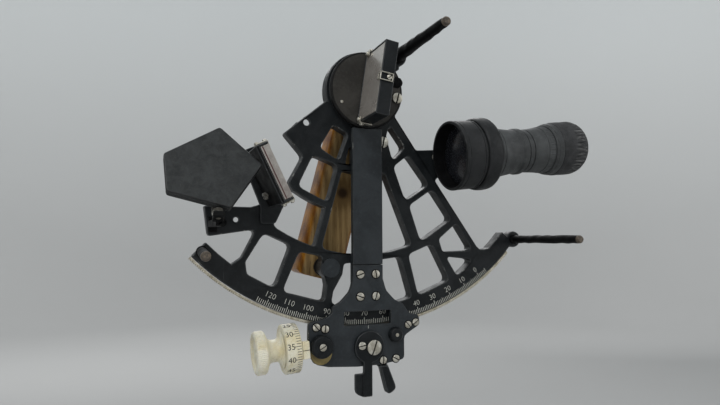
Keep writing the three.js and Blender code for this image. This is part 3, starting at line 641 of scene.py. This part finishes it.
def make_frame():
    eased("frame", 0.7, "frame_body", "black_paint", [BLACK, EDGE], pierced=True)
    make_rack()
    make_scale()
    ring = softened([(-14, 9), (-14, 6.1), (-0.2, 6.1), (-0.2, 9)], closed=True)
    piece("pivot_bush_turned", lathe(ring, 64, closed=True), place(0, 0), [BRONZE], "frame_body", "bronze",
          "pivot_bush")
    piece("hub_screw_head", screw(3.9, 1.0, 80), place(14, -34.5, 0.2), SCREW, "frame_body", "nickel",
          "hub_screw")
    pin = softened([(0, 0), (0, 2.7), (0.5, 2.7, 0.3), (0.9, 1.9, 0.4), (1.1, 0)])
    piece("tab_pin", lathe(pin, 32), place(55.2, -43.2, 0), [DARK_NICKEL], "frame_body", "bronze")
    boss = softened([(0, 0), (0, 6.4), (0.2, 6.4, 0.15), (0.3, 6.1), (0.3, 0)])
    piece("boss_face", lathe(boss, 64), place(*HANDLE_BOLTS["lower"], 0), [ARM_BLACK], "frame_body",
          "black_paint")


def make_rack():
    """The limb's bare edge with its fine teeth, one for each turn of the worm."""
    low, high = LIMB_SPAN
    count = round((high - low) / RACK_PITCH)
    base, root, crest = RACK_RADII
    bm = bmesh.new()
    columns = []
    for k in range(count * 4 + 1):
        angle = low + (high - low) * k / (count * 4)
        outer = crest if k % 4 in (1, 2) else root
        corners = [(base, RACK_HEIGHTS[0]), (outer, RACK_HEIGHTS[0]), (outer, RACK_HEIGHTS[1]),
                   (base, RACK_HEIGHTS[1])]
        columns.append([bm.verts.new((*polar(radius, angle), height)) for radius, height in corners])
    for a, b in zip(columns, columns[1:]):
        for i in range(4):
            bm.faces.new((a[i], a[(i + 1) % 4], b[(i + 1) % 4], b[i]))
    bm.faces.new(columns[0])
    bm.faces.new(columns[-1])
    piece("limb_rack_teeth", bm, place(0, 0), [RIM], "frame_body", "nickel", "limb_rack")


def make_scale():
    """Degree strokes along the limb's edge and figures at every tenth reading."""
    strokes, figures, spots = [], [], []
    for reading in range(*SCALE_READINGS):
        angle = SCALE_ZERO - reading / 2
        length = 4.4 if reading % 10 == 0 else 3.6 if reading % 5 == 0 else 3.0
        stroke = block(-0.16, 0.16, -159.8, -159.8 + length, 0.0, 0.05)
        stroke.transform(Matrix.Rotation(math.radians(angle), 4, "Z"))
        strokes.append(stroke)
        if reading % 10 == 0 and reading >= 0:
            figures.append(lettering(str(reading), 5.2, 0.05, -0.02))
            x, z = polar(152.6, angle)
            spots.append(Matrix.Translation((x, z, 0)) @ Matrix.Rotation(math.radians(angle), 4, "Z"))
    marks = join([join(strokes), join(figures, spots)])
    piece("limb_scale_marks", marks, place(0, 0, 0.0), [WHITE_MARK], "frame_body", "black_paint")


def make_legs():
    """Three round legs on flanged feet; handling has bared their tips."""
    shapes = {"top": ((26, 28.3), (26, 28.3), 4.6, 2.9),
              "right": ((121.5, -102.9), (121.5, -102.9), 2.9, 2.6),
              "left": ((-107.8, -109.6), (-112.2, -110.2), 2.9, 2.6)}
    for name, (foot, tip, wide, narrow) in shapes.items():
        start = PIVOT + Vector((foot[0], -0.3, foot[1])) * MM
        end = PIVOT + Vector((tip[0], -72, tip[1])) * MM
        length = (end - start).length / MM
        bare = length - 2.5
        profile = [(0, 0), (0, wide + 0.9), (1.8, wide + 0.9, 0.5), (2.6, wide, 0.6), (bare, narrow + 0.05),
                   (bare + 0.4, narrow), (length - 1, narrow, 0.8), (length, narrow - 0.8), (length, 0)]
        fine = dense(softened(profile), 0.8)
        leg = lathe(fine, 40, swell=lambda s, a, r: wavy(0.35, 0.16)(s, a, r) if 3 < s < 68 and r > 1 else 0,
                    zone=lambda s, r: s > bare)
        piece(f"leg_{name}_rod", leg, round_axis(start, end - start), [LEG_BLACK, TIP], "frame_body",
              "black_paint", f"leg_{name}")


def make_handle():
    eased("handle_grip", 0.9, "frame_body", "wood", [WOOD, WOOD], name="handle_grip_wood", pierced=True)
    for name, foot in (("lower", 11.3), ("upper", 9.3)):
        spot = HANDLE_BOLTS[name]
        sleeve = softened([(-20.2, 3), (-20.2, 6.6, 0.5), (-17.5, 6.6), (-17.1, 6.1, 0.3), (-13.4, 6.1, 0.3),
                           (-13, 6.6), (-foot, 6.6, 0.5), (-foot, 3)], closed=True)
        piece(f"handle_post_{name}_sleeve", lathe(sleeve, 64, closed=True), place(*spot), [BLACK],
              "frame_body", "black_paint", f"handle_post_{name}")
        head = screw(5.2, 2.2, 12)
        shank = lathe([(0, 0), (0, 2.5), (46.3, 2.5), (46.3, 0)], 40)
        flip = Matrix.Translation((0, 0, -48.7)) @ Matrix.Rotation(math.pi, 4, "X")
        bolt = join([head, shank], [flip, Matrix.Translation((0, 0, -48.8))])
        piece(f"handle_bolt_{name}_slotted", bolt, place(*spot), SCREW, "frame_body", "nickel",
              f"handle_bolt_{name}")


# ---- mirrors and shade ----
def knurled(count, depth, low, high):
    """Straight flutes between two places along the axis."""
    def swell(along, angle, radius):
        return -depth * abs(math.sin(angle * count / 2)) if low < along < high else 0
    return swell


def make_horizon():
    eased("horizon_base", 0.5, "frame_body", "black_paint", [BLACK, EDGE])
    eased("horizon_mirror_frame", 0.5, "frame_body", "black_paint", [LEG_BLACK, EDGE])
    glass = eased("horizon_mirror_glass", 0.3, "frame_body", "mirror_glass", [MIRROR, GLASS_EDGE])
    grind_ends(glass, HORIZON_LEAN)
    for end in ("upper", "lower"):
        eased(f"horizon_clip_{end}", 0.2, "frame_body", "nickel", [NICKEL, NICKEL])
    group = leaned(*HORIZON_CENTRE, HORIZON_LEAN)
    stem = softened([(-7.4, 0), (-7.4, 1.6), (-7, 2.3, 0.4), (-5, 2.3, 0.3), (-5, 1.2), (-4.3, 1.2),
                     (-4.3, 0)])
    for name, z, y in (("upper", 10.5, -27), ("lower", -10.5, -17)):
        slit = block(-0.3, 0.3, -3, 3, -7.8, -6.7)
        knob = cut(lathe(dense(stem, 0.3), 72, swell=knurled(24, 0.18, -6.9, -5.1)), slit)
        piece(f"horizon_adjuster_{name}_screw", knob, sideways(group, y, z), [DARK_NICKEL], "frame_body",
              "nickel", f"horizon_adjuster_{name}")
    piece("platform_screw_head", screw(2.6, 0.9, 15), place(-95.6, -91.4, 0.3), [LEG_BLACK, INSIDE_BLACK_AND_PAINTED_SHADE],
          "frame_body", "nickel", "platform_screw")
    line = block(-0.6, 0.1, -41.56, -41.4, -16.5, 16.5)
    piece("horizon_silvering_line", line, group, [SILVERING], "frame_body", "mirror_glass")
    heads = [screw(1.25, 1.0, turn, 0.3) for turn in (20, 110, 70, 150)]
    spots = [Matrix.Translation((x, -35.7, end * 19.4)) @ Matrix.Rotation(math.radians(turn), 4, "X")
             for end, turn in ((1, 0), (-1, 180)) for x in (-1.6, 3.6)]
    piece("horizon_clip_screws", join(heads, spots), group, SCREW, "frame_body", "nickel")


def grind_ends(glass, lean):
    """Gives the glass block's edges the ground finish and leaves the two big faces silvered."""
    across = Vector((math.cos(math.radians(lean)), 0, -math.sin(math.radians(lean))))
    for polygon in glass.data.polygons:
        polygon.material_index = 0 if abs(polygon.normal.dot(across)) > 0.9 else 1


def make_shade():
    for plate in ("front", "rear"):
        # The plates' edges take the darker edge paint: painted shade.
        eased(f"shade_plate_{plate}", 0.6, "shade_body", "shade_paint", [CHARCOAL, CHARCOAL_EDGE_PAINTED_SHADE])
    coils = [(-2.5, 1.6), (-2.5, 2), (-2.1, 2.6, 0.3), (-1.7, 2), (-1.3, 2.6, 0.3), (-0.9, 2),
             (-0.5, 2.6, 0.3), (-0.1, 2), (-0.1, 1.6)]
    knuckle = join([lathe(softened(coils, closed=True), 48, closed=True),
                    block(-4.6, -3.5, -3, 3, -2.6, 5, 0.3), block(-3.8, -1.9, -1.6, 1.6, -2.2, -0.5)])
    piece("shade_knuckle_coil", knuckle, SHADE_PIN, [DARK_NICKEL], "shade_body", "nickel", "shade_knuckle")
    eased("shade_bracket", 0.45, "frame_body", "black_paint", [LEG_BLACK, LEG_BLACK])
    pin = softened([(-6, 0), (-6, 1.4, 0.4), (-0.2, 1.4, 0.4), (-0.2, 0)])
    piece("shade_pin_turned", lathe(pin, 32), SHADE_PIN, [DARK_NICKEL], "frame_body", "nickel", "shade_pin")


# ---- telescope ----
def make_telescope():
    barrel = softened([(0, 21.8), (0, 23.1, 0.3), (0.6, 23.6, 0.3), (2.2, 23.6, 0.2), (2.5, 23.2),
                       (2.9, 23.2), (3.2, 23.5, 0.2), (13.4, 23.4, 0.2), (13.7, 23.0), (14.2, 23.0),
                       (14.5, 23.4, 0.2),
                       (15.6, 23.3, 0.3), (16.2, 22.4), (16.2, 20.7), (8, 20.7), (7.4, 21.1, 0.3),
                       (1.2, 21.5, 0.3)], closed=True)
    # The bore inside r = 21.7 takes the near-black inside paint: a blackened finish, darkened further as
    # painted shade deep in the barrel.
    piece("objective_barrel", lathe(barrel, 128, closed=True, zone=lambda s, r: r < 21.7), SCOPE,
          [CELL_BLACK, INSIDE_BLACK_AND_PAINTED_SHADE], "frame_body", "black_paint", "objective_cell")
    lens = [(7 + 1.6 * (k / 12) ** 2, 20.1 * k / 12) for k in range(13)]
    lens += [(12 - 1.0 * (k / 12) ** 2, 20.1 * k / 12) for k in range(12, -1, -1)]
    piece("objective_glass", lathe(lens, 96), SCOPE, [LENS], "frame_body", "lens_glass", "objective_lens")
    ring = softened([(16.6, 22.6), (16.6, 23.6, 0.3), (17.3, 24.3, 0.4), (18.8, 24.8, 0.6), (22.5, 25.1, 1.5),
                     (26.2, 24.7, 0.8), (27.7, 23.6, 0.6), (28.3, 22.8), (28.3, 22.6)], closed=True)
    foot = block(17, 27, -7, 7, -27.7, -23.6, 0.8)
    foot.transform(Matrix(((0, 0, -1, 0), (0, 1, 0, 0), (1, 0, 0, 0), (0, 0, 0, 1))))
    foot.transform(Matrix.Rotation(math.pi, 4, "Z"))
    piece("telescope_collar_ring", join([lathe(ring, 128, closed=True), foot]), SCOPE, [CELL_BLACK],
          "frame_body", "black_paint", "telescope_collar")
    tube = softened([(16.6, 20.8), (16.6, 22.3, 0.2), (28.4, 22.3, 0.5), (29.6, 20.6, 0.8), (30.6, 19.5, 0.8),
                     (32.5, 17.8, 1.0), (33.6, 17.5), (33.8, 17.1), (34.4, 17.1), (34.6, 17.4),
                     (38, 16.8, 1.0),
                     (46.5, 15.6, 1.5), (49.8, 15.4, 0.5), (50.9, 16.3, 0.4), (54.1, 16.3, 0.4),
                     (54.9, 15.4, 0.3), (55.3, 14.8), (55.8, 14.8), (56, 15.2),
                     (59.5, 15.1, 0.2), (59.5, 13.8), (34.5, 14), (27.5, 20.8)], closed=True)
    piece("telescope_main_tube", lathe(tube, 128, closed=True), SCOPE, [TUBE_BLACK], "frame_body",
          "black_paint", "telescope_tube")
    focus = softened([(59.9, 13.9), (59.9, 15.3, 0.2), (63.9, 15.6, 0.5), (69.9, 16.2, 0.4), (70.4, 15.9),
                      (70.8, 15.9), (71.3, 16.5, 0.3), (75.8, 17.0, 0.3), (76.1, 16.7), (76.1, 14.4),
                      (71, 13.9)], closed=True)
    fluted = lathe(dense(focus, 0.5), 240, closed=True,
                   swell=lambda s, a, r: knurled(60, 0.22, 71.6, 75.6)(s, a, r) if r > 15.5 else 0)
    piece("focus_ring_fluted", fluted, SCOPE, [TUBE_BLACK], "focus_ring_body", "black_paint", "focus_ring")
    make_eyepiece()
    knob = softened([(18.9, 0), (18.9, 6.8), (18.3, 7.7, 0.5), (17.4, 8, 0.3), (10.6, 8, 0.3), (10, 7.4),
                     (10, 4, 0.2), (9.3, 4), (9.3, 2.6), (1.0, 2.6), (1.0, 0)])
    grip = lathe(dense(knob, 0.6), 160,
                 swell=lambda s, a, r: knurled(40, 0.35, 10.9, 17.2)(s, a, r) if r > 7.5 else 0)
    spot = PIVOT + Vector((72, 0, -44)) * MM
    axis = round_axis(spot, (0, 1, 0))
    piece("clamp_knob_knurled", grip, axis, [BLACK], "clamp_knob_body", "black_paint", "telescope_clamp_knob")


def make_eyepiece():
    """The sliding eye tube, with a soft creased cup over its end."""
    shape = softened([(60.5, 11.4), (60.5, 13.1, 0.2), (71, 13.5), (76.5, 14.1), (76.5, 17.2, 0.3),
                      (77.4, 17.9, 0.3), (77.9, 17.7), (78.4, 18.2, 0.2), (81.4, 18.8, 0.4), (82, 18.4),
                      (82.6, 18.9, 0.3), (84.5, 19.2), (98, 19.4, 0.8), (101.5, 18.6, 1.2), (105, 16.2, 1.2),
                      (106.1, 13.4, 1.0), (105.3, 10.6, 0.8), (102, 10, 1.0), (97.5, 11.4)], closed=True)

    def creases(along, angle, radius):
        if radius < 15 or not 84.6 < along < 103:
            return 0
        fade = min(1, max(0.12, (along - 92) / 2), (103 - along) / 2)
        pleat = abs(math.sin(angle * 22 + 0.9 * math.sin(angle * 3) + 0.05 * along))
        return -0.8 * fade * (1 - pleat) ** 3 + 0.09 * math.sin(angle * 5 + along * 0.6)

    cup = lathe(dense(shape, 0.5), 288, closed=True, swell=creases, zone=lambda s, r: s > 81.8)
    piece("eye_tube_and_cup", cup, SCOPE, [TUBE_BLACK, RUBBER], "eye_tube_body", "black_paint", "eye_tube")
    lens = [(92.5 + 1.2 * (k / 10) ** 2, 10.9 * k / 10) for k in range(11)]
    lens += [(96.7 - 0.8 * (k / 10) ** 2, 10.9 * k / 10) for k in range(10, -1, -1)]
    piece("eye_glass", lathe(lens, 64), SCOPE, [LENS], "eye_tube_body", "lens_glass", "eye_lens")


# ---- index arm ----
def make_arm():
    body = "index_arm_body"
    eased("index_arm", 0.45, body, "black_paint", [ARM_BLACK, EDGE])
    rim = softened([(3.1, 0), (3.1, 26.5, 0.2), (5.6, 26.5, 0.2), (6.3, 25.9, 0.3), (6.3, 25.4), (6.15, 25.3),
                    (6.15, 25.1), (6.3, 25.0), (6.3, 0)])
    piece("mirror_table_disc", lathe(rim, 128, zone=lambda s, r: r > 25.05), place(0, 0), [TABLE, TABLE_RING],
          body, "table_paint", "mirror_table")
    eased("pivot_nut", 0.5, body, "bronze", [BRONZE, BRONZE])
    piece("table_screw_head", screw(3.8, 1.2, 75), place(22.3, -4, 6.6), SCREW, body, "nickel", "table_screw")
    dot = softened([(0, 0), (0, 1.0), (0.35, 1.0, 0.2), (0.45, 0)])
    piece("table_pin", lathe(dot, 24), place(-18.4, -9.6, 6.3), [NICKEL], body, "nickel")
    make_index_mirror(body)


def make_index_mirror(body):
    eased("index_mirror_frame", 0.55, body, "black_paint", [BLACK, EDGE])
    glass = eased("index_mirror_glass", 0.3, body, "mirror_glass", [MIRROR, GLASS_EDGE])
    grind_ends(glass, MIRROR_LEAN)
    for end in ("upper", "lower"):
        eased(f"index_clip_{end}", 0.2, body, "nickel", [NICKEL, NICKEL])
    group = leaned(0.1, -0.5, MIRROR_LEAN)
    knob = softened([(4.9, 0), (4.9, 1.8), (9.6, 1.8), (10.6, 3.6, 0.4), (16, 3.5, 0.5), (18.1, 1.6, 0.4),
                     (18.1, 0)])
    turned = lathe(dense(knob, 0.4), 96, swell=knurled(24, 0.2, 11, 15.8))
    piece("index_adjuster_screw", turned, sideways(group, -22, 5), [LEG_BLACK], body, "black_paint",
          "index_adjuster")
    wires = [(-5.2, 3.5, -42.7, -41.9, 2.1, 2.8), (-5.2, 3.5, -42.7, -41.9, -2.8, -2.1),
             (2.8, 3.5, -42.7, -41.9, -2.8, 2.8), (-5.6, -4.9, -42.7, -38.2, 1.4, 2.3),
             (-5.6, -4.9, -42.7, -38.2, -2.3, -1.4), (-5.6, -4.9, -39, -38.2, -2.3, 2.3),
             (-5.6, -4.9, -42.7, -42, -2.8, 2.8)]
    piece("index_clip_loop", join([block(*bounds, 0.25) for bounds in wires]), group, [NICKEL], body,
          "nickel", "index_clip_top")
    seats = [((0.9, -41.6, 0), 90), ((-3.2, -12.8, -25.4), 180), ((-3.2, -12.8, 25.4), 0)]
    fronts = [Matrix.Translation(spot) @ Matrix.Rotation(math.radians(turn), 4, "X") for spot, turn in seats]
    heads = [screw(1.7, 1.0, 40, 0.5), screw(1.7, 1.1, 75, 0.4), screw(1.5, 1.1, 20, 0.4)]
    piece("index_clip_screws", join(heads, fronts), group, SCREW, body, "nickel")
    ends = [Matrix.Translation((-5.6, -12.8, z)) @ Matrix.Rotation(math.radians(-90), 4, "Y")
            for z in (-22.8, 22.8)]
    knobs = [lathe(softened([(0, 0), (0, 1.3), (1.1, 1.3, 0.4), (1.4, 0)]), 24) for _ in ends]
    piece("index_clip_knobs", join(knobs, ends), group, [NICKEL], body, "nickel")


PLATE_SCREWS = [(-5.6, -125.8, 2.7, 20), (5.6, -125.8, 2.7, 100), (-5.6, -140.6, 2.7, 160),
                (5.6, -140.6, 2.7, 75), (-36.2, -159.2, 2.5, 130), (-30.2, -160.6, 2.5, 85),
                (29.4, -161, 2.4, 130), (35, -159.6, 2.4, 35), (10.6, -183.6, 2.5, 85),
                (20, -183.2, 2.5, 150)]


def make_lower_plate():
    body = "index_arm_body"
    eased("lower_plate", 0.4, body, "black_paint", [ARM_BLACK, EDGE])
    heads = [screw(radius, 0.8, turn) for _, _, radius, turn in PLATE_SCREWS]
    spots = [Matrix.Translation((x, z, ARM_FRONT)) for x, z, _, _ in PLATE_SCREWS]
    piece("plate_screws", join(heads, spots), place(0, 0), SCREW, body, "nickel")
    # Thin near-black rings, a little wider than each screw head: painted shade round the heads.
    seats = [lathe([(0, 0), (0, radius + 0.55), (0.06, radius + 0.5), (0.06, 0)], 40)
             for _, _, radius, _ in PLATE_SCREWS]
    piece("plate_screw_painted_shade_rings", join(seats, spots), place(0, 0), [INSIDE_BLACK_AND_PAINTED_SHADE], body, "black_paint")
    mark = block(-0.11, 0.11, -161.9, -159.9, 0, 0.06)
    piece("index_mark", mark, place(0, 0, ARM_FRONT), [WHITE_MARK], body, "black_paint")
    washer = softened([(0, 0), (0, 7.2, 0.2), (0.6, 7.2, 0.2), (0.6, 0)])
    piece("cap_washer_disc", lathe(washer, 64), place(-33, -176, 6.5), [TAN], body, "tan_fibre", "cap_washer")
    cap = softened([(0, 0), (0, 7), (0.6, 7.4, 0.2), (3.9, 7.4, 0.6), (5.2, 6.5, 0.6), (5.2, 3.6), (4.9, 3.4),
                    (4.9, 0)])
    ribbed_cap = lathe(dense(cap, 0.5), 120, swell=knurled(40, 0.12, 0.8, 3.6))
    piece("cap_turned", ribbed_cap, place(*CAP, 7.4), [BLACK], body, "black_paint", "cap")
    piece("cap_screw", screw(2.3, 0.5, 30), place(*CAP, 12.3), SCREW, body, "nickel")
    stop = softened([(0, 0), (0, 5), (2.8, 4.8, 0.3), (4, 3.9, 0.5), (4, 0)])
    piece("stop_knob_turned", lathe(dense(stop, 0.4), 96, swell=knurled(30, 0.15, 0.5, 2.6)),
          place(19.3, -166.8, 6.5), [BLACK], body, "black_paint", "stop_knob")
    dot = softened([(0, 0), (0, 1.2), (0.3, 1.2, 0.2), (0.4, 0)])
    piece("stop_knob_pin", lathe(dot, 24), place(19.3, -166.8, 10.5), [NICKEL], body, "nickel")
    eased("finger_post", 1.0, body, "black_paint", [BLACK, EDGE])
    piece("release_pivot_head", screw(5, 1.1, 70, 0.35, 0.18), place(3, -174.2, 9.1), SCREW, body,
          "nickel", "release_pivot")
    eased("release_lever", 0.55, "release_lever_body", "black_paint", [BLACK, EDGE])
    piece("release_screw_head", screw(2.6, 0.7, 10), place(-5.5, -172.6, 9.1), SCREW, "release_lever_body",
          "nickel", "release_screw")
    piece("release_lever_lip", block(-5.2, -4.2, -205.2, -191, 0, 0.8, 0.3), place(0, 0, 8.75), [BLACK],
          "release_lever_body", "black_paint")


# ---- micrometer ----
def make_micrometer():
    body = "drum_body"
    eased("carrier_bracket", 0.4, "index_arm_body", "black_paint", [BLACK, EDGE])
    eased("carrier_pin", 0.2, "index_arm_body", "nickel", [NICKEL, NICKEL])
    eased("worm_carrier", 0.5, "worm_carrier_body", "black_paint", [BLACK, EDGE])
    eased("drum_index", 0.35, "worm_carrier_body", "ivory", [IVORY, IVORY])

    def thread(along, angle, radius):
        if radius < 3:
            return 0
        phase = (along / WORM_PITCH - angle / math.tau) % 1
        return 1.25 * min(1, max(0, 1.6 - 3.2 * abs(phase - 0.5)))

    shaft = [(-71.8, 0), (-71.8, 2.2), (4.5, 2.2), (4.5, 4.2)]
    shaft += [(4.5 + 15.9 * k / 120, 4.2) for k in range(1, 121)]
    shaft += [(20.4, 2.2), (23.8, 2.2), (23.8, 0)]
    piece("worm_threaded", lathe(shaft, 48, swell=thread), DRUM, [BRONZE], body, "bronze", "worm")
    drum = softened([(-57, 2.5), (-57, 15.0), (-56.4, 16.0, 0.5), (-47.6, 16.0, 0.4), (-46.8, 15.3, 0.4),
                     (-46.8, 12.4), (-47.4, 12.0), (-47.4, 2.5)], closed=True)
    piece("drum_body_turned", lathe(drum, 128, closed=True), DRUM, [IVORY], body, "ivory", "drum")
    make_drum_marks(body)
    grip = softened([(-73.6, 2.5), (-73.6, 9.4, 0.8), (-75.2, 11.4, 0.5), (-75.2, 12.6, 0.5),
                     (-74.3, 13.8, 0.6), (-68.9, 13.9, 0.7), (-67.8, 12.6, 0.6), (-66.2, 8.3, 1.0),
                     (-63.9, 7.2, 0.8),
                     (-60.4, 7.2, 1.2), (-58.6, 8.7, 0.9), (-57.6, 12.0, 0.4), (-57.3, 12), (-57.3, 2.5)],
                    closed=True)
    ribbed = lathe(dense(grip, 0.4), 288, closed=True,
                   swell=lambda s, a, r: knurled(72, 0.2, -74, -69.4)(s, a, r) if r > 13 else 0)
    piece("drum_grip_ribbed", ribbed, DRUM, [IVORY], body, "ivory", "drum_grip")


def wrapped(bm, along, angle):
    """Wraps a flat drawing on the drum: its x runs along the axis, its y up the front."""
    for vertex in bm.verts:
        x, y, z = vertex.co
        turn = angle - y / DRUM_RADIUS
        out = DRUM_RADIUS + z
        vertex.co = (out * math.cos(turn), out * math.sin(turn), along + x)
    return bm


def make_drum_marks(body):
    marks = []
    for division in range(DRUM_DIVISIONS):
        angle = math.radians((division - DRUM_READING) * 360 / DRUM_DIVISIONS)
        length = 4.6 if division % 5 == 0 else 2.8
        marks.append(wrapped(block(-length, 0, -0.17, 0.17, 0.0, 0.04), -47.5, angle))
        if division % 5 == 0:
            marks.append(wrapped(lettering(str(division), 5.2, 0.04, 0.0), -53.9, angle))
    piece("drum_figures", join(marks), DRUM, [BLACK_MARK], body, "ivory")
    line = block(14, 14.05, -0.22, 0.22, -46.3, -41.95)
    piece("drum_index_line", line, DRUM, [BLACK_MARK], "worm_carrier_body", "ivory")


# ---- camera, floor and light ----
def make_camera():
    """The camera, and a view transform that shows the colours as they are lit."""
    bpy.context.scene.view_settings.view_transform = "Standard"
    data = bpy.data.cameras.new("camera")
    data.lens = CAMERA_LENS
    data.clip_start = 0.01
    holder = bpy.data.objects.new("camera", data)
    aim = (Matrix.Rotation(math.radians(-CAMERA_TURN), 4, "Z")
           @ Matrix.Rotation(math.radians(90 + CAMERA_RISE), 4, "X")
           @ Matrix.Rotation(math.radians(CAMERA_ROLL), 4, "Z"))
    holder.matrix_world = Matrix.Translation(PIVOT + CAMERA_SPOT * MM) @ aim
    bpy.context.scene.collection.objects.link(holder)
    bpy.context.scene.camera = holder


def make_stage():
    """A pale round floor that curves up into a wall on every side."""
    floor = CAD_BOX[0].z - 0.28
    radius, bend, height = 2.2, 1.2, 3.4
    profile = [(0, 0), (0, 0.4), (0, 1.2), (0, radius)]
    profile += [(bend * (1 - math.cos(t)), radius + bend * math.sin(t))
                for t in (math.radians(90 * k / 16) for k in range(1, 17))]
    profile.append((height, radius + bend))
    bm = lathe(profile, 96)
    for face in bm.faces:
        face.smooth = True
    mesh = bpy.data.meshes.new("studio_floor")
    bm.to_mesh(mesh)
    bm.free()
    s = Surface("studio_floor")
    cloud = s.noise(1.2, 3, 0.5)
    # Painted light and shade: the floor is coloured darker, and the wall lighter as it rises.
    painted_light_rise = s.remap(s.along(2), floor, floor + height, 0.0, 1.0)
    low_tone = s.blend(cloud, (0.37, 0.37, 0.366), (0.40, 0.40, 0.396))
    colour = s.blend(painted_light_rise, low_tone, (0.68, 0.71, 0.715))
    mesh.materials.append(s.finish(colour, 0.9, cloud, 0.001, 0.05))
    holder = bpy.data.objects.new("studio_floor", mesh)
    holder.location.z = floor
    bpy.context.scene.collection.objects.link(holder)


def make_light():
    """Soft lamps round the instrument, and two that wash the wall behind it."""
    world = bpy.data.worlds.new("studio")
    world.use_nodes = True
    world.node_tree.nodes["Background"].inputs["Color"].default_value = (0.93, 0.97, 1.0, 1)
    world.node_tree.nodes["Background"].inputs["Strength"].default_value = 0.5
    bpy.context.scene.world = world
    centre = (CAD_BOX[0] + CAD_BOX[1]) / 2
    lamps = (("key", (-0.9, -1.3, 1.5), (0, 0, 0), 1.1, 20), ("fill", (1.5, -1.1, 0.5), (0, 0, 0), 1.4, 8),
             ("back", (0.5, 1.5, 1.3), (0, 0, 0), 1.2, 14), ("under", (-0.3, -0.9, -0.34), (0, 0, 0), 0.8, 2),
             ("wall_left", (-0.8, 0.9, 0.9), (-0.6, 3.3, 1.1), 1.4, 24),
             ("wall_right", (1.6, 0.7, 0.9), (2.6, 2.6, 1.1), 1.4, 15))
    for name, offset, aim, size, power in lamps:
        lamp = bpy.data.lights.new(name, "AREA")
        lamp.size = size
        lamp.energy = power
        holder = bpy.data.objects.new(name, lamp)
        holder.location = centre + Vector(offset)
        holder.rotation_euler = (Vector(aim) - Vector(offset)).to_track_quat("-Z", "Y").to_euler()
        holder.visible_camera = False
        bpy.context.scene.collection.objects.link(holder)


make_camera()
make_stage()
make_light()
make_frame()
make_legs()
make_handle()
make_horizon()
make_shade()
make_telescope()
make_arm()
make_lower_plate()
make_micrometer()
